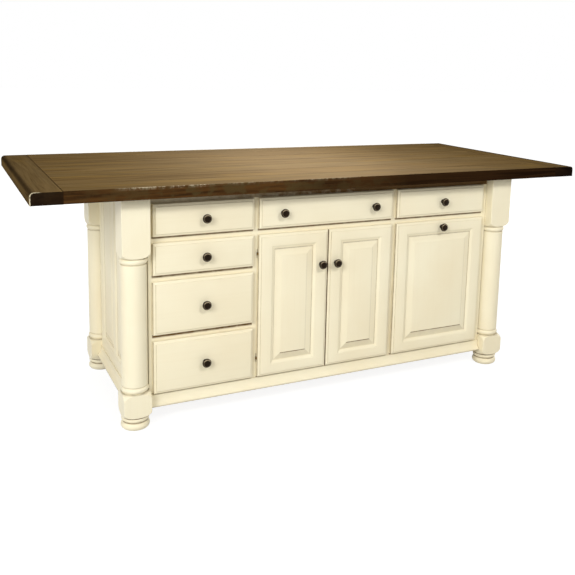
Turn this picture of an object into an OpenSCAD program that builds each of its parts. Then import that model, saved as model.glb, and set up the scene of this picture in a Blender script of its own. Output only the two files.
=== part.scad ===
// Kitchen island: a painted cabinet between four turned posts, under an overhanging
// plank top. Drawers on the left, a wide drawer over two doors in the middle, and a
// drawer over a tall pull-out on the right. Millimetres. X runs left to right along
// the front, Y runs front to back, Z runs up. The origin is on the floor, under the
// middle of the top.

/* [Overall] */
// Length over the outer faces of the posts
body_l = 1726; // [1650:1:2400]
// Depth over the outer faces of the posts
body_d = 720; // [680:1:1000]
// Height from the floor to the upper face of the top
overall_h = 914; // [880:1:960]

/* [Top] */
// Thickness of the top
top_t = 44; // [30:1:60]
// Overhang past the posts at each end
end_overhang = 305; // [20:1:400]
// Overhang past the posts at the front
front_overhang = 56; // [35:1:120]
// Overhang past the posts at the back, for seating
back_overhang = 246; // [20:1:400]
// Width of the cross board at each end of the top
breadboard_w = 105; // [70:1:150]
// Number of long planks between the cross boards
plank_count = 7; // [4:1:10]
// Thickness of the tongue between planks and cross boards
tongue_t = 12; // [8:1:16]
// Length of that tongue
tongue_l = 25; // [15:1:35]
// Distance at which the tongue stops short of the top's long edges
tongue_stop = 30; // [10:1:50]
// Radius of the outer corners of the top, seen from above
top_corner_r = 4; // [3:1:15]
// Radius of the rounded upper edge at each end of the top
end_round_r = 16; // [6:1:22]

/* [Posts] */
// Width of the square blocks on each post
post_w = 102; // [92:1:110]
// Diameter of the plain shaft
shaft_d = 95; // [80:1:98]
// Height of each bead between shaft and block
bead_h = 22; // [14:1:28]
// Height of the square upper block
upper_block_h = 222; // [150:1:260]
// Height of the square lower block
lower_block_h = 90; // [70:1:110]
// Height over which the ends of the blocks are turned from square to round
turned_end_h = 30; // [24:1:30]
// Height of the bun foot, with its ring
foot_h = 50; // [44:1:60]
// Diameter of the bun
bun_d = 106; // [98:1:110]
// Height of the bun alone
bun_h = 30; // [24:1:32]
// Depth of the grooves beside beads and ring
groove_depth = 3; // [2:0.5:8]
// Height of those grooves
groove_h = 2; // [1:0.5:4]
// Diameter of the dowel that joins foot and post
dowel_d = 30; // [20:1:40]
// Length of that dowel
dowel_l = 40; // [25:1:50]

/* [Face frame and walls] */
// Set-back of the frame behind the outer faces of the posts
frame_setback = 45; // [30:1:50]
// Thickness of frame and wall members
frame_t = 19; // [18:0.5:24]
// Height of the cabinet's lower edge above the floor
base_bottom = 70; // [60:1:90]
// Width of the upright members of side and back walls
wall_stile_w = 57; // [45:1:70]
// Height of the upper rail of side and back walls
wall_top_rail_h = 60; // [45:1:90]
// Height of the lower rail of side and back walls
wall_bottom_rail_h = 105; // [90:1:120]
// Number of panels in each side wall
side_panel_count = 2; // [1:1:2]
// Number of panels in the back wall
back_panel_count = 4; // [2:1:5]
// Height of the base moulding
base_moulding_h = 44; // [40:1:48]
// Projection of the base moulding's nose
base_moulding_t = 19; // [12:1:24]
// Height of that nose
moulding_nose_h = 8; // [5:1:12]
// Thickness of the base moulding's upper lip
moulding_lip_t = 4; // [3:0.5:6]
// Height of the base moulding that its hollow leaves free
moulding_rest_h = 6; // [4:1:10]
// Hairline left at glued joints between members of one frame
joint_line = 0.2; // [0.1:0.05:0.4]

/* [Layout of the fronts] */
// Gap from the left post to the first front
left_margin = 14; // [12:1:30]
// Gap from the last front to the right post
right_margin = 24; // [12:1:30]
// Width of the left drawer fronts
left_front_w = 393; // [340:1:420]
// Width of the centre drawer front and of the door pair
centre_front_w = 600; // [560:1:640]
// Frame shown between fronts side by side
reveal_x = 20; // [20:1:28]
// Frame shown between fronts above each other
reveal_z = 24; // [20:1:30]
// Height of the lowest edge of the fronts above the floor
front_bottom = 120; // [118:1:135]
// Frame shown above the upper fronts
top_reveal = 34; // [30:1:50]
// Height of the shallow drawer fronts
shallow_front_h = 120; // [112:1:130]
// Overlap of each front on the frame around its opening
overlay = 10; // [8:0.5:12]
// Gap between the two doors
door_meeting_gap = 3; // [2:0.5:5]

/* [Fronts] */
// Thickness of drawer fronts and doors
front_t = 19; // [18:0.5:22]
// Air between the back of a front and the frame
front_gap = 1; // [0.5:0.1:2]
// Width of the moulded border around each front
edge_w = 10; // [6:1:14]
// Drop of that border at its outer edge
edge_drop = 6; // [3:0.5:8]
// Step where the border meets the flat face
edge_step = 2; // [1:0.5:2.5]
// Width of the upright members of door frames
door_stile_w = 66; // [54:1:72]
// Height of the upper and lower members of door frames
door_rail_h = 59; // [54:1:72]
// Width of the bevel inside door frames and walls
sticking_w = 13; // [6:1:14]
// Depth of that bevel
sticking_depth = 6; // [3:0.5:7]

/* [Raised panels] */
// Width of the sloping border of a raised panel
bevel_w = 27; // [18:1:32]
// Thickness of a panel's edge
panel_edge_t = 6; // [5:0.5:7]
// Depth of the groove that holds a panel
panel_groove_depth = 10; // [8:1:12]
// Wood behind the panel groove
behind_groove = 4.5; // [4:0.5:6]
// Room on each face of a panel's edge in its groove
panel_play = 0.25; // [0.15:0.05:0.4]
// Room at the end of a panel's edge in its groove
panel_end_room = 2; // [1:0.5:3]
// Set-back of the raised field behind the frame's face
field_setback = 1; // [0.5:0.5:2]

/* [Cabinet inside] */
// Thickness of the sides, floors and shelf
board_t = 18; // [15:1:18]
// Width of the stretchers under the top
stretcher_w = 80; // [60:1:120]
// Depth of the shelf behind the doors
shelf_depth = 500; // [350:1:520]
// Height of the shelf's upper face above the cabinet floor
shelf_rise = 285; // [180:1:360]
// Room at each end of the shelf
shelf_room = 1; // [0.5:0.5:2]
// Diameter of the shelf pins
shelf_pin_d = 5; // [4:0.5:7]
// Depth of the shelf pin holes
shelf_pin_depth = 9; // [7:1:11]
// Distance of each shelf pin from the shelf's edge
shelf_pin_inset = 50; // [30:1:100]

/* [Drawer boxes] */
// Depth of the drawer boxes, front to back
box_depth = 520; // [440:1:540]
// Thickness of drawer box sides
box_side_t = 14; // [12:1:16]
// Thickness of drawer box bottoms
box_bottom_t = 6; // [5:0.5:9]
// Depth of the grooves that hold the bottoms
box_groove_depth = 6; // [4:1:8]
// Height of a groove above a box's lower edge
box_groove_rise = 10; // [6:1:14]
// Room between a shallow drawer box and the frame above it
shallow_head_room = 12; // [6:1:28]
// Room between a deep drawer box and the frame above it
deep_head_room = 20; // [6:1:60]
// Height of the pull-out's tray
tray_h = 150; // [110:1:155]
// Room between a box and the frame below it
box_lift = 12; // [6:1:14]

/* [Slides] */
// Room between cabinet side and drawer box for one slide
slide_room = 13; // [12:0.5:14]
// Length of the slides
slide_l = 500; // [420:10:510]
// Travel of drawers and pull-out
slide_travel = 380; // [250:5:400]
// Height of the cabinet channel of a slide
slide_h = 45; // [35:1:50]
// Thickness of the slide's steel
slide_steel_t = 1.5; // [1:0.1:2]
// Running gap between the two channels of a slide
slide_gap = 0.4; // [0.3:0.05:0.6]
// Height of a slide's middle above the box's lower edge
slide_rise = 38; // [30:1:40]

/* [Knobs] */
// Diameter of the knob heads
knob_d = 35; // [25:1:40]
// Projection of the knobs
knob_l = 30; // [24:1:36]
// Diameter of the stud in the wood
knob_stud_d = 4; // [3:0.5:6]
// Length of that stud
knob_stud_l = 14; // [8:1:16]
// Distance of the centre drawer's knobs from its ends
wide_knob_inset = 96; // [60:1:150]
// Distance of a door knob from the meeting edge
door_knob_inset = 32; // [24:1:40]
// Distance of a door knob from the upper edge of the door
door_knob_drop = 136; // [60:1:200]
// Distance of the pull-out's knob from its upper edge
pull_out_knob_drop = 26; // [24:1:36]

/* [Hinges] */
// Diameter of the hinge knuckles
knuckle_d = 8; // [7:0.5:8]
// Length of one hinge's pair of knuckles
knuckle_l = 10; // [8:1:24]
// Diameter of the hinge pins
hinge_pin_d = 4; // [3:0.5:4.5]
// Height of the hinge leaves
leaf_h = 36; // [28:1:50]
// Width of the leaf on the door
door_leaf_w = 30; // [20:1:40]
// Thickness of the leaves
leaf_t = 1.5; // [1:0.1:1.5]
// Distance of each hinge from the door's end
hinge_inset = 75; // [50:1:120]
// Gap between the two knuckles of a hinge
knuckle_gap = 0.2; // [0.1:0.05:0.4]

/* [Waste bin] */
// Length of the bin's rim, front to back
bin_l = 400; // [300:1:430]
// Width of the bin's rim
bin_w = 320; // [240:1:340]
// Height of the bin
bin_h = 420; // [300:1:460]
// Inward slope of the bin, top to bottom, on each side
bin_taper = 22; // [10:1:35]
// Thickness of the bin's wall
bin_wall = 3; // [2:0.5:4]
// Width of the bin's turned-out rim
bin_rim_w = 10; // [6:1:14]
// Height of that rim
bin_rim_h = 8; // [4:1:12]

/* [Hidden] */
$fn = 96;
cut = 1; // how far a cutting shape runs past a face
end_room = 1; // room at the end of a tongue or a blind hole
running_fit = 0.05; // radial room of a pin or stud in its hole
turning_room = 1; // turned outline of a post past its block's corners
neck_inset = 2; // how much deeper the foot's neck is than a post's groove
flange_room = 1; // air between a channel's flanges and the other channel's web

cream = "#EFE6C8";
cream_panel = "#F3EBD0";
dark_walnut = "#4A2E1B";
end_walnut = "#3E2616";
birch = "#D9BF93";
steel = "#B9BCC0";
bronze = "#3A2A20";
bin_grey = "#8D9093";

// Top and posts
top_l = body_l + 2 * end_overhang;
top_d = body_d + front_overhang + back_overhang;
carcass_h = overall_h - top_t;
front_edge_y = -top_d / 2;
body_front = front_edge_y + front_overhang;
body_back = body_front + body_d;
post_x = (body_l - post_w) / 2;
front_post_y = body_front + post_w / 2;
back_post_y = body_back - post_w / 2;
between_posts_x = body_l - 2 * post_w;
between_posts_y = body_d - 2 * post_w;
plank_zone_l = top_l - 2 * breadboard_w;
plank_w = top_d / plank_count;

// Planes of frame and walls
frame_front = body_front + frame_setback;
frame_back = frame_front + frame_t;
wall_h = carcass_h - base_bottom;
side_inner = body_l / 2 - frame_setback - frame_t;
back_inner = body_back - frame_setback - frame_t;
inside_depth = back_inner - frame_back;

// Bays of the front, from left to right
front_start = -between_posts_x / 2 + left_margin;
right_front_w = between_posts_x - left_margin - right_margin
    - left_front_w - centre_front_w - 2 * reveal_x;
bay_w = [left_front_w, centre_front_w, right_front_w];
bay_x = [
    front_start,
    front_start + left_front_w + reveal_x,
    front_start + left_front_w + centre_front_w + 2 * reveal_x
];

// Rows of the front, from the top down
fronts_top = carcass_h - top_reveal;
shallow_z = fronts_top - shallow_front_h;
second_shallow_z = shallow_z - reveal_z - shallow_front_h;
deep_front_h = (second_shallow_z - front_bottom - 2 * reveal_z) / 2;
upper_deep_z = second_shallow_z - reveal_z - deep_front_h;
door_h = shallow_z - reveal_z - front_bottom;

// Drawer boxes behind those rows
shallow_box_h = shallow_front_h - 2 * overlay - box_lift - shallow_head_room;
deep_box_h = deep_front_h - 2 * overlay - box_lift - deep_head_room;

// Every drawer: name, bay, height of lower edge, front height, box height, knobs
DRAWERS = [
    ["left_drawer_1", 0, shallow_z, shallow_front_h, shallow_box_h, 1],
    ["left_drawer_2", 0, second_shallow_z, shallow_front_h, shallow_box_h, 1],
    ["left_drawer_3", 0, upper_deep_z, deep_front_h, deep_box_h, 1],
    ["left_drawer_4", 0, front_bottom, deep_front_h, deep_box_h, 1],
    ["centre_drawer", 1, shallow_z, shallow_front_h, shallow_box_h, 2],
    ["right_drawer", 2, shallow_z, shallow_front_h, shallow_box_h, 1]
];
PULL_OUT = ["pull_out", 2, front_bottom, door_h, tray_h, 1];
DRAWER_PIECES = ["front", "box", "knob", "runners"];

// Rails between fronts, by bay: lower edge of the front above each rail
rail_fronts = [
    [shallow_z, second_shallow_z, upper_deep_z],
    [shallow_z],
    [shallow_z]
];

// Doors and hinges
front_back = frame_front - front_gap;
door_w = (centre_front_w - door_meeting_gap) / 2;
hinge_x = -1; // hinge line, measured inwards from a door's outer edge
knuckle_clearance = 0.3; // air between a knuckle and the frame
knuckle_stand_off = knuckle_d / 2 + knuckle_clearance;
hinge_y = frame_front - knuckle_stand_off;
hinge_heights = [hinge_inset, door_h - hinge_inset];
knuckle_room = 0.4; // air around the knuckles in the door's notch
notch_r = knuckle_d / 2 + knuckle_room;
frame_leaf_w = overlay - hinge_x;
leaf_start = notch_r + knuckle_gap;

// Panels
panel_groove_w = panel_edge_t + 2 * panel_play;
panel_back = behind_groove + panel_play;
panel_t = frame_t - field_setback - panel_back;
door_panel_t = front_t - field_setback - panel_back;
panel_reach = panel_groove_depth - panel_end_room;
panel_flat = 2; // flat strip of a panel between its frame and its sloping border

// Cabinet inside
floor_top = front_bottom + overlay;
board_side_h = carcass_h - floor_top + board_t;
cupboard_w = centre_front_w - 2 * overlay;
shelf_z = floor_top + shelf_rise;
shelf_tab_l = 8;
shelf_tab_w = 10;
shelf_tab_t = 3;
shelf_tab_gap = 0.3; // air between a tab and the cabinet's side
shelf_pin_y = [
    frame_back + shelf_pin_inset,
    frame_back + shelf_depth - shelf_pin_inset
];

front_edge = [
    [0, 0],
    [0, front_t - edge_drop],
    [edge_w, front_t - edge_step],
    [edge_w, front_t]
];

// ---------------------------------------------------------------- shared shapes

// Outline of a board seen from its end. edge lists [inset, height above the back].
function board_outline(w, edge) = concat(
    [for (p = edge) [p[0], -p[1]]],
    [for (i = [len(edge) - 1 : -1 : 0]) [w - edge[i][0], -edge[i][1]]]
);

function swapped(points) = [for (p = points) [p[1], p[0]]];

// A board in the XZ plane with the same edge on all four sides, mitred at the corners.
// Its back lies at y = 0 and it faces -Y.
module edged_board(w, h, edge) {
    intersection() {
        linear_extrude(h) polygon(board_outline(w, edge));
        rotate([90, 0, 90]) linear_extrude(w) polygon(swapped(board_outline(h, edge)));
    }
}

// The hole of a framed opening, widened at the front by the bevel.
module framed_hole(w, h, t) {
    translate([-sticking_w, 0, -sticking_w])
        edged_board(w + 2 * sticking_w, h + 2 * sticking_w, [
            [sticking_w, -cut],
            [sticking_w, t - sticking_depth],
            [0, t],
            [0, t + cut]
        ]);
}

// Groove for a panel around an opening.
module panel_groove(w, h) {
    translate([-panel_groove_depth, -behind_groove - panel_groove_w, -panel_groove_depth])
        cube([w + 2 * panel_groove_depth, panel_groove_w, h + 2 * panel_groove_depth]);
}

function opening_w(w, n, stile) = (w - (n + 1) * stile) / n;

// Stiles and rails around n openings side by side, as separate members.
module framed_members(w, h, n, stile, top_rail, bottom_rail, t) {
    hole_w = opening_w(w, n, stile);
    hole_h = h - top_rail - bottom_rail;
    pitch = stile + hole_w;
    difference() {
        union() {
            for (i = [0 : n])
                translate([i * pitch, -t, 0]) cube([stile, t, h]);
            for (i = [0 : n - 1], z = [[0, bottom_rail], [h - top_rail, top_rail]])
                translate([stile + i * pitch + joint_line, -t, z[0]])
                    cube([hole_w - 2 * joint_line, t, z[1]]);
        }
        for (i = [0 : n - 1])
            translate([stile + i * pitch, 0, bottom_rail]) {
                framed_hole(hole_w, hole_h, t);
                panel_groove(hole_w, hole_h);
            }
    }
}

// Raised panels for the same openings.
module framed_panels(w, h, n, stile, top_rail, bottom_rail, t) {
    hole_w = opening_w(w, n, stile);
    hole_h = h - top_rail - bottom_rail;
    for (i = [0 : n - 1])
        translate([
            stile + i * (stile + hole_w) - panel_reach,
            -panel_back,
            bottom_rail - panel_reach
        ])
            edged_board(hole_w + 2 * panel_reach, hole_h + 2 * panel_reach, [
                [0, 0],
                [0, panel_edge_t],
                [panel_reach + panel_flat, panel_edge_t],
                [panel_reach + panel_flat + bevel_w, t]
            ]);
}

module door_members(w, h) {
    intersection() {
        edged_board(w, h, front_edge);
        framed_members(w, h, 1, door_stile_w, door_rail_h, door_rail_h, front_t);
    }
}

module door_panel(w, h) {
    framed_panels(w, h, 1, door_stile_w, door_rail_h, door_rail_h, door_panel_t);
}

// Hole for a knob's stud, from a front's face at y = 0 towards +Y.
module stud_hole() {
    translate([0, -cut, 0]) rotate([-90, 0, 0])
        cylinder(d = knob_stud_d + 2 * running_fit, h = knob_stud_l + cut + end_room);
}

// Knob on a face at y = 0, standing out towards -Y.
module knob() {
    head_t = knob_l * 0.5;
    head_r = knob_d / 2;
    rim_r = head_t / 2;
    crown_h = knob_l / 30;
    color(bronze) rotate([90, 0, 0]) {
        translate([0, 0, -knob_stud_l]) cylinder(d = knob_stud_d, h = knob_stud_l + cut);
        cylinder(d = knob_d * 0.5, h = knob_l * 0.1);
        cylinder(d = knob_d * 0.34, h = knob_l - head_t);
        translate([0, 0, knob_l - head_t - crown_h]) rotate_extrude() {
            translate([head_r - rim_r, rim_r]) circle(rim_r);
            square([head_r - rim_r, head_t]);
        }
        translate([0, 0, knob_l - crown_h])
            cylinder(r1 = head_r - rim_r, r2 = head_r * 0.3, h = crown_h);
    }
}

// ---------------------------------------------------------------- top

module top_planks() {
    color(dark_walnut)
        for (i = [0 : plank_count - 1])
            translate([0, front_edge_y + i * plank_w, carcass_h]) {
                first = i == 0;
                last = i == plank_count - 1;
                y0 = first ? 0 : joint_line / 2;
                y1 = last ? plank_w : plank_w - joint_line / 2;
                tongue_y0 = first ? tongue_stop : y0;
                tongue_y1 = last ? plank_w - tongue_stop : y1;
                translate([-plank_zone_l / 2, y0, 0])
                    cube([plank_zone_l, y1 - y0, top_t]);
                translate([-plank_zone_l / 2 - tongue_l, tongue_y0, (top_t - tongue_t) / 2])
                    cube([plank_zone_l + 2 * tongue_l, tongue_y1 - tongue_y0, tongue_t]);
            }
}

// Cross board at one end, with a groove for the tongues. side is -1 or 1.
module breadboard_end(side) {
    r = top_corner_r;
    inner = plank_zone_l / 2 + joint_line;
    outer = top_l / 2;
    w = outer - inner;
    mirror([side < 0 ? 1 : 0, 0, 0]) translate([0, 0, carcass_h]) difference() {
        intersection() {
            linear_extrude(top_t) {
                translate([inner, front_edge_y + r]) square([w, top_d - 2 * r]);
                translate([inner, front_edge_y]) square([w - r, top_d]);
                for (y = [front_edge_y + r, -front_edge_y - r])
                    translate([outer - r, y]) circle(r);
            }
            translate([inner, -front_edge_y, 0]) rotate([90, 0, 0]) linear_extrude(top_d) {
                square([w - end_round_r, top_t]);
                square([w, top_t - end_round_r]);
                translate([w - end_round_r, top_t - end_round_r]) circle(end_round_r);
            }
        }
        translate([
            inner - cut,
            front_edge_y + tongue_stop - joint_line,
            (top_t - tongue_t - joint_line) / 2
        ])
            cube([
                tongue_l + cut + end_room,
                top_d - 2 * (tongue_stop - joint_line),
                tongue_t + joint_line
            ]);
    }
}

module breadboard_ends() {
    color(end_walnut)
        for (side = [-1, 1]) breadboard_end(side);
}

// ---------------------------------------------------------------- posts and feet

// Square block whose lower end, and upper end if both is true, is turned round.
module turned_block(h, both) {
    corner_r = post_w * sqrt(2) / 2 + turning_room;
    swell = corner_r - post_w / 2;
    r = (pow(swell, 2) + pow(turned_end_h, 2)) / (2 * swell);
    straight = both ? h - 2 * turned_end_h : h - turned_end_h;
    ends = both ? [turned_end_h, h - turned_end_h] : [turned_end_h];
    intersection() {
        translate([-post_w / 2, -post_w / 2, 0]) cube([post_w, post_w, h]);
        rotate_extrude() {
            square([post_w / 2, h]);
            translate([0, turned_end_h]) square([corner_r, straight]);
            for (z = ends) translate([corner_r - r, z]) circle(r);
        }
    }
}

module bead(h) {
    rotate_extrude() {
        translate([post_w / 2 - h / 2, h / 2]) circle(h / 2);
        square([post_w / 2 - h / 2, h]);
    }
}

// One post, standing on its foot, with its middle at x = 0, y = 0.
module post() {
    lower_top = foot_h + lower_block_h;
    shaft_z = lower_top + bead_h + 2 * groove_h;
    upper_z = carcass_h - upper_block_h;
    color(cream) difference() {
        union() {
            translate([0, 0, foot_h]) turned_block(lower_block_h, true);
            translate([0, 0, lower_top - cut])
                cylinder(d = shaft_d - 2 * groove_depth, h = upper_z - lower_top + 2 * cut);
            translate([0, 0, lower_top + groove_h]) bead(bead_h);
            translate([0, 0, shaft_z])
                cylinder(d = shaft_d, h = upper_z - 2 * groove_h - bead_h - shaft_z);
            translate([0, 0, upper_z - groove_h - bead_h]) bead(bead_h);
            translate([0, 0, upper_z]) turned_block(upper_block_h, false);
        }
        translate([0, 0, foot_h - cut])
            cylinder(d = dowel_d + 2 * running_fit, h = dowel_l + cut + end_room);
    }
}

// Bun foot with its ring, standing on the floor, and its dowel.
module bun_foot() {
    ring_h = foot_h - bun_h - 2 * groove_h;
    ring_z = bun_h + groove_h;
    rotate_extrude() {
        translate([bun_d / 2 - bun_h / 2, bun_h / 2]) circle(bun_h / 2);
        square([bun_d / 2 - bun_h / 2, bun_h]);
    }
    cylinder(d = post_w - 2 * (groove_depth + neck_inset), h = foot_h);
    translate([0, 0, ring_z]) rotate_extrude() {
        translate([post_w / 2 - ring_h / 2, ring_h / 2]) circle(ring_h / 2);
        square([post_w / 2 - ring_h / 2, ring_h]);
    }
    cylinder(d = dowel_d, h = foot_h + dowel_l);
}

module bun_feet() {
    color(cream)
        for (x = [-post_x, post_x], y = [front_post_y, back_post_y])
            translate([x, y, 0]) bun_foot();
}

module front_left_post() { translate([-post_x, front_post_y, 0]) post(); }
module front_right_post() { translate([post_x, front_post_y, 0]) post(); }
module back_left_post() { translate([-post_x, back_post_y, 0]) post(); }
module back_right_post() { translate([post_x, back_post_y, 0]) post(); }

// ---------------------------------------------------------------- frames and walls

// Opening of one bay in the face frame: left and right edge
function opening_x(bay) = [bay_x[bay] + overlay, bay_x[bay] + bay_w[bay] - overlay];

// Stiles of the face frame: left and right edge of each
frame_stiles = [
    [-between_posts_x / 2, opening_x(0)[0]],
    [opening_x(0)[1], opening_x(1)[0]],
    [opening_x(1)[1], opening_x(2)[0]],
    [opening_x(2)[1], between_posts_x / 2]
];

module frame_board(x0, x1, z0, z1) {
    translate([x0, frame_front, z0]) cube([x1 - x0, frame_t, z1 - z0]);
}

module front_frame() {
    color(cream) difference() {
        union() {
            for (s = frame_stiles) frame_board(s[0], s[1], base_bottom, carcass_h);
            for (bay = [0 : 2]) {
                x0 = opening_x(bay)[0] + joint_line;
                x1 = opening_x(bay)[1] - joint_line;
                frame_board(x0, x1, base_bottom, floor_top);
                frame_board(x0, x1, fronts_top - overlay, carcass_h);
                for (z = rail_fronts[bay])
                    frame_board(x0, x1, z - reveal_z - overlay, z + overlay);
            }
        }
        all_hinges() frame_leaf_plate();
    }
}

module side_frames() {
    color(cream) walls_of_sides()
        framed_members(between_posts_y, wall_h, side_panel_count, wall_stile_w,
            wall_top_rail_h, wall_bottom_rail_h, frame_t);
}

module side_panels() {
    color(cream_panel) walls_of_sides()
        framed_panels(between_posts_y, wall_h, side_panel_count, wall_stile_w,
            wall_top_rail_h, wall_bottom_rail_h, panel_t);
}

module walls_of_sides() {
    translate([-side_inner, body_back - post_w, base_bottom]) rotate([0, 0, -90]) children();
    translate([side_inner, body_front + post_w, base_bottom]) rotate([0, 0, 90]) children();
}

module back_wall() {
    translate([between_posts_x / 2, back_inner, base_bottom]) rotate([0, 0, 180]) children();
}

module back_frame() {
    color(cream) back_wall()
        framed_members(between_posts_x, wall_h, back_panel_count, wall_stile_w,
            wall_top_rail_h, wall_bottom_rail_h, frame_t);
}

module back_panels() {
    color(cream_panel) back_wall()
        framed_panels(between_posts_x, wall_h, back_panel_count, wall_stile_w,
            wall_top_rail_h, wall_bottom_rail_h, panel_t);
}

// Base moulding of a given length against a plane at y = 0, facing -Y: a low nose
// that sweeps up in a hollow to a thin upper lip.
module base_moulding(l) {
    hollow_r = base_moulding_h - moulding_nose_h - moulding_rest_h;
    hollow_y = -moulding_lip_t - hollow_r;
    hollow_rise = sqrt(pow(hollow_r, 2) - pow(base_moulding_t + hollow_y, 2));
    hollow_z = moulding_nose_h + hollow_rise;
    rotate([90, 0, 90]) linear_extrude(l) difference() {
        translate([-base_moulding_t, 0]) square([base_moulding_t, base_moulding_h]);
        translate([hollow_y, hollow_z]) circle(hollow_r);
        translate([-base_moulding_t - cut, hollow_z])
            square([base_moulding_t - moulding_lip_t + cut, base_moulding_h]);
    }
}

module base_mouldings() {
    color(cream) {
        translate([-between_posts_x / 2, frame_front, base_bottom])
            base_moulding(between_posts_x);
        translate([between_posts_x / 2, back_inner + frame_t, base_bottom])
            rotate([0, 0, 180]) base_moulding(between_posts_x);
        translate([-side_inner - frame_t, body_back - post_w, base_bottom])
            rotate([0, 0, -90]) base_moulding(between_posts_y);
        translate([side_inner + frame_t, body_front + post_w, base_bottom])
            rotate([0, 0, 90]) base_moulding(between_posts_y);
    }
}

// ---------------------------------------------------------------- cabinet inside

module cabinet_sides() {
    color(birch) difference() {
        for (bay = [0 : 2], x = [opening_x(bay)[0] - board_t, opening_x(bay)[1]])
            translate([x, frame_back, floor_top - board_t])
                cube([board_t, inside_depth, board_side_h]);
        shelf_pin_places() shelf_pin_hole();
    }
}

module cabinet_floors() {
    color(birch)
        for (bay = [0 : 2])
            translate([opening_x(bay)[0], frame_back, floor_top - board_t])
                cube([opening_x(bay)[1] - opening_x(bay)[0], inside_depth, board_t]);
}

module top_stretchers() {
    color(birch)
        for (bay = [0 : 2], y = [frame_back, back_inner - stretcher_w])
            translate([opening_x(bay)[0], y, carcass_h - board_t])
                cube([opening_x(bay)[1] - opening_x(bay)[0], stretcher_w, board_t]);
}

module cupboard_shelf() {
    color(birch)
        translate([opening_x(1)[0] + shelf_room, frame_back, shelf_z - board_t])
            cube([cupboard_w - 2 * shelf_room, shelf_depth, board_t]);
}

// Places children at each shelf pin, on the cupboard's side, pointing inwards along +X.
module shelf_pin_places() {
    for (y = shelf_pin_y) {
        translate([opening_x(1)[0], y, shelf_z - board_t]) children();
        translate([opening_x(1)[1], y, shelf_z - board_t]) mirror([1, 0, 0]) children();
    }
}

module shelf_pin_hole() {
    translate([-shelf_pin_depth - end_room, 0, -shelf_pin_d / 2]) rotate([0, 90, 0])
        cylinder(d = shelf_pin_d + 2 * running_fit, h = shelf_pin_depth + end_room + cut);
}

module shelf_pins() {
    color(steel) shelf_pin_places() {
        translate([-shelf_pin_depth, 0, -shelf_pin_d / 2]) rotate([0, 90, 0])
            cylinder(d = shelf_pin_d, h = shelf_pin_depth + shelf_tab_l);
        translate([shelf_tab_gap, -shelf_tab_w / 2, -shelf_tab_t])
            cube([shelf_tab_l - shelf_tab_gap, shelf_tab_w, shelf_tab_t]);
    }
}

// ---------------------------------------------------------------- slides

// Places children on both slides of a drawer: x = 0 on the cabinet's side, pointing
// towards the box, y = 0 at the back of the frame, z = 0 at the slide's middle.
module slide_places(d) {
    z = d[2] + overlay + box_lift + slide_rise;
    translate([opening_x(d[1])[0], frame_back, z]) children();
    translate([opening_x(d[1])[1], frame_back, z]) mirror([1, 0, 0]) children();
}

// Channel of a slide, with its web at x = 0 and its flanges towards +X.
module channel(h) {
    w = slide_room - slide_steel_t - flange_room;
    translate([0, 0, -h / 2]) cube([slide_steel_t, slide_l, h]);
    for (z = [-h / 2, h / 2 - slide_steel_t])
        translate([0, 0, z]) cube([w, slide_l, slide_steel_t]);
}

module cabinet_slides() {
    color(steel)
        for (d = concat(DRAWERS, [PULL_OUT])) slide_places(d)
            channel(slide_h);
}

module drawer_runners(d) {
    color(steel) slide_places(d)
        translate([slide_room, 0, 0]) mirror([1, 0, 0])
            channel(slide_h - 2 * slide_steel_t - 2 * slide_gap);
}

// ---------------------------------------------------------------- drawers

// Lower left corner of a front's back face.
module at_front(d) {
    translate([bay_x[d[1]], front_back, d[2]]) children();
}

// Knob positions across a drawer front.
function knob_xs(d) = d[5] == 2
    ? [wide_knob_inset, bay_w[d[1]] - wide_knob_inset]
    : [bay_w[d[1]] / 2];

module drawer_front(d) {
    color(cream) at_front(d) difference() {
        edged_board(bay_w[d[1]], d[3], front_edge);
        for (x = knob_xs(d)) translate([x, -front_t, d[3] / 2]) stud_hole();
    }
}

module drawer_knob(d) {
    at_front(d)
        for (x = knob_xs(d)) translate([x, -front_t, d[3] / 2]) knob();
}

// Drawer box behind a front: sides, front board, back board and a bottom in grooves.
module drawer_box(d) {
    w = bay_w[d[1]] - 2 * overlay - 2 * slide_room;
    h = d[4];
    inner_w = w - 2 * box_side_t;
    color(birch) at_front(d)
        translate([overlay + slide_room, 0, overlay + box_lift]) {
            difference() {
                union() {
                    for (x = [0, w - box_side_t])
                        translate([x, 0, 0]) cube([box_side_t, box_depth, h]);
                    for (y = [0, box_depth - box_side_t])
                        translate([box_side_t + joint_line, y, 0])
                            cube([inner_w - 2 * joint_line, box_side_t, h]);
                }
                translate([
                    box_side_t - box_groove_depth,
                    box_side_t - box_groove_depth,
                    box_groove_rise - joint_line / 2
                ])
                    cube([
                        inner_w + 2 * box_groove_depth,
                        box_depth - 2 * (box_side_t - box_groove_depth),
                        box_bottom_t + joint_line
                    ]);
            }
            bottom_inset = box_side_t - box_groove_depth + joint_line;
            translate([bottom_inset, bottom_inset, box_groove_rise])
                cube([w - 2 * bottom_inset, box_depth - 2 * bottom_inset, box_bottom_t]);
        }
}

// ---------------------------------------------------------------- pull-out

module pull_out_frame() {
    w = bay_w[PULL_OUT[1]];
    color(cream) at_front(PULL_OUT) difference() {
        door_members(w, door_h);
        translate([w / 2, -front_t, door_h - pull_out_knob_drop]) stud_hole();
    }
}

module pull_out_panel() {
    color(cream_panel) at_front(PULL_OUT) door_panel(bay_w[PULL_OUT[1]], door_h);
}

module pull_out_knob() {
    at_front(PULL_OUT)
        translate([bay_w[PULL_OUT[1]] / 2, -front_t, door_h - pull_out_knob_drop]) knob();
}

module pull_out_tray() { drawer_box(PULL_OUT); }
module pull_out_runners() { drawer_runners(PULL_OUT); }

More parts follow.
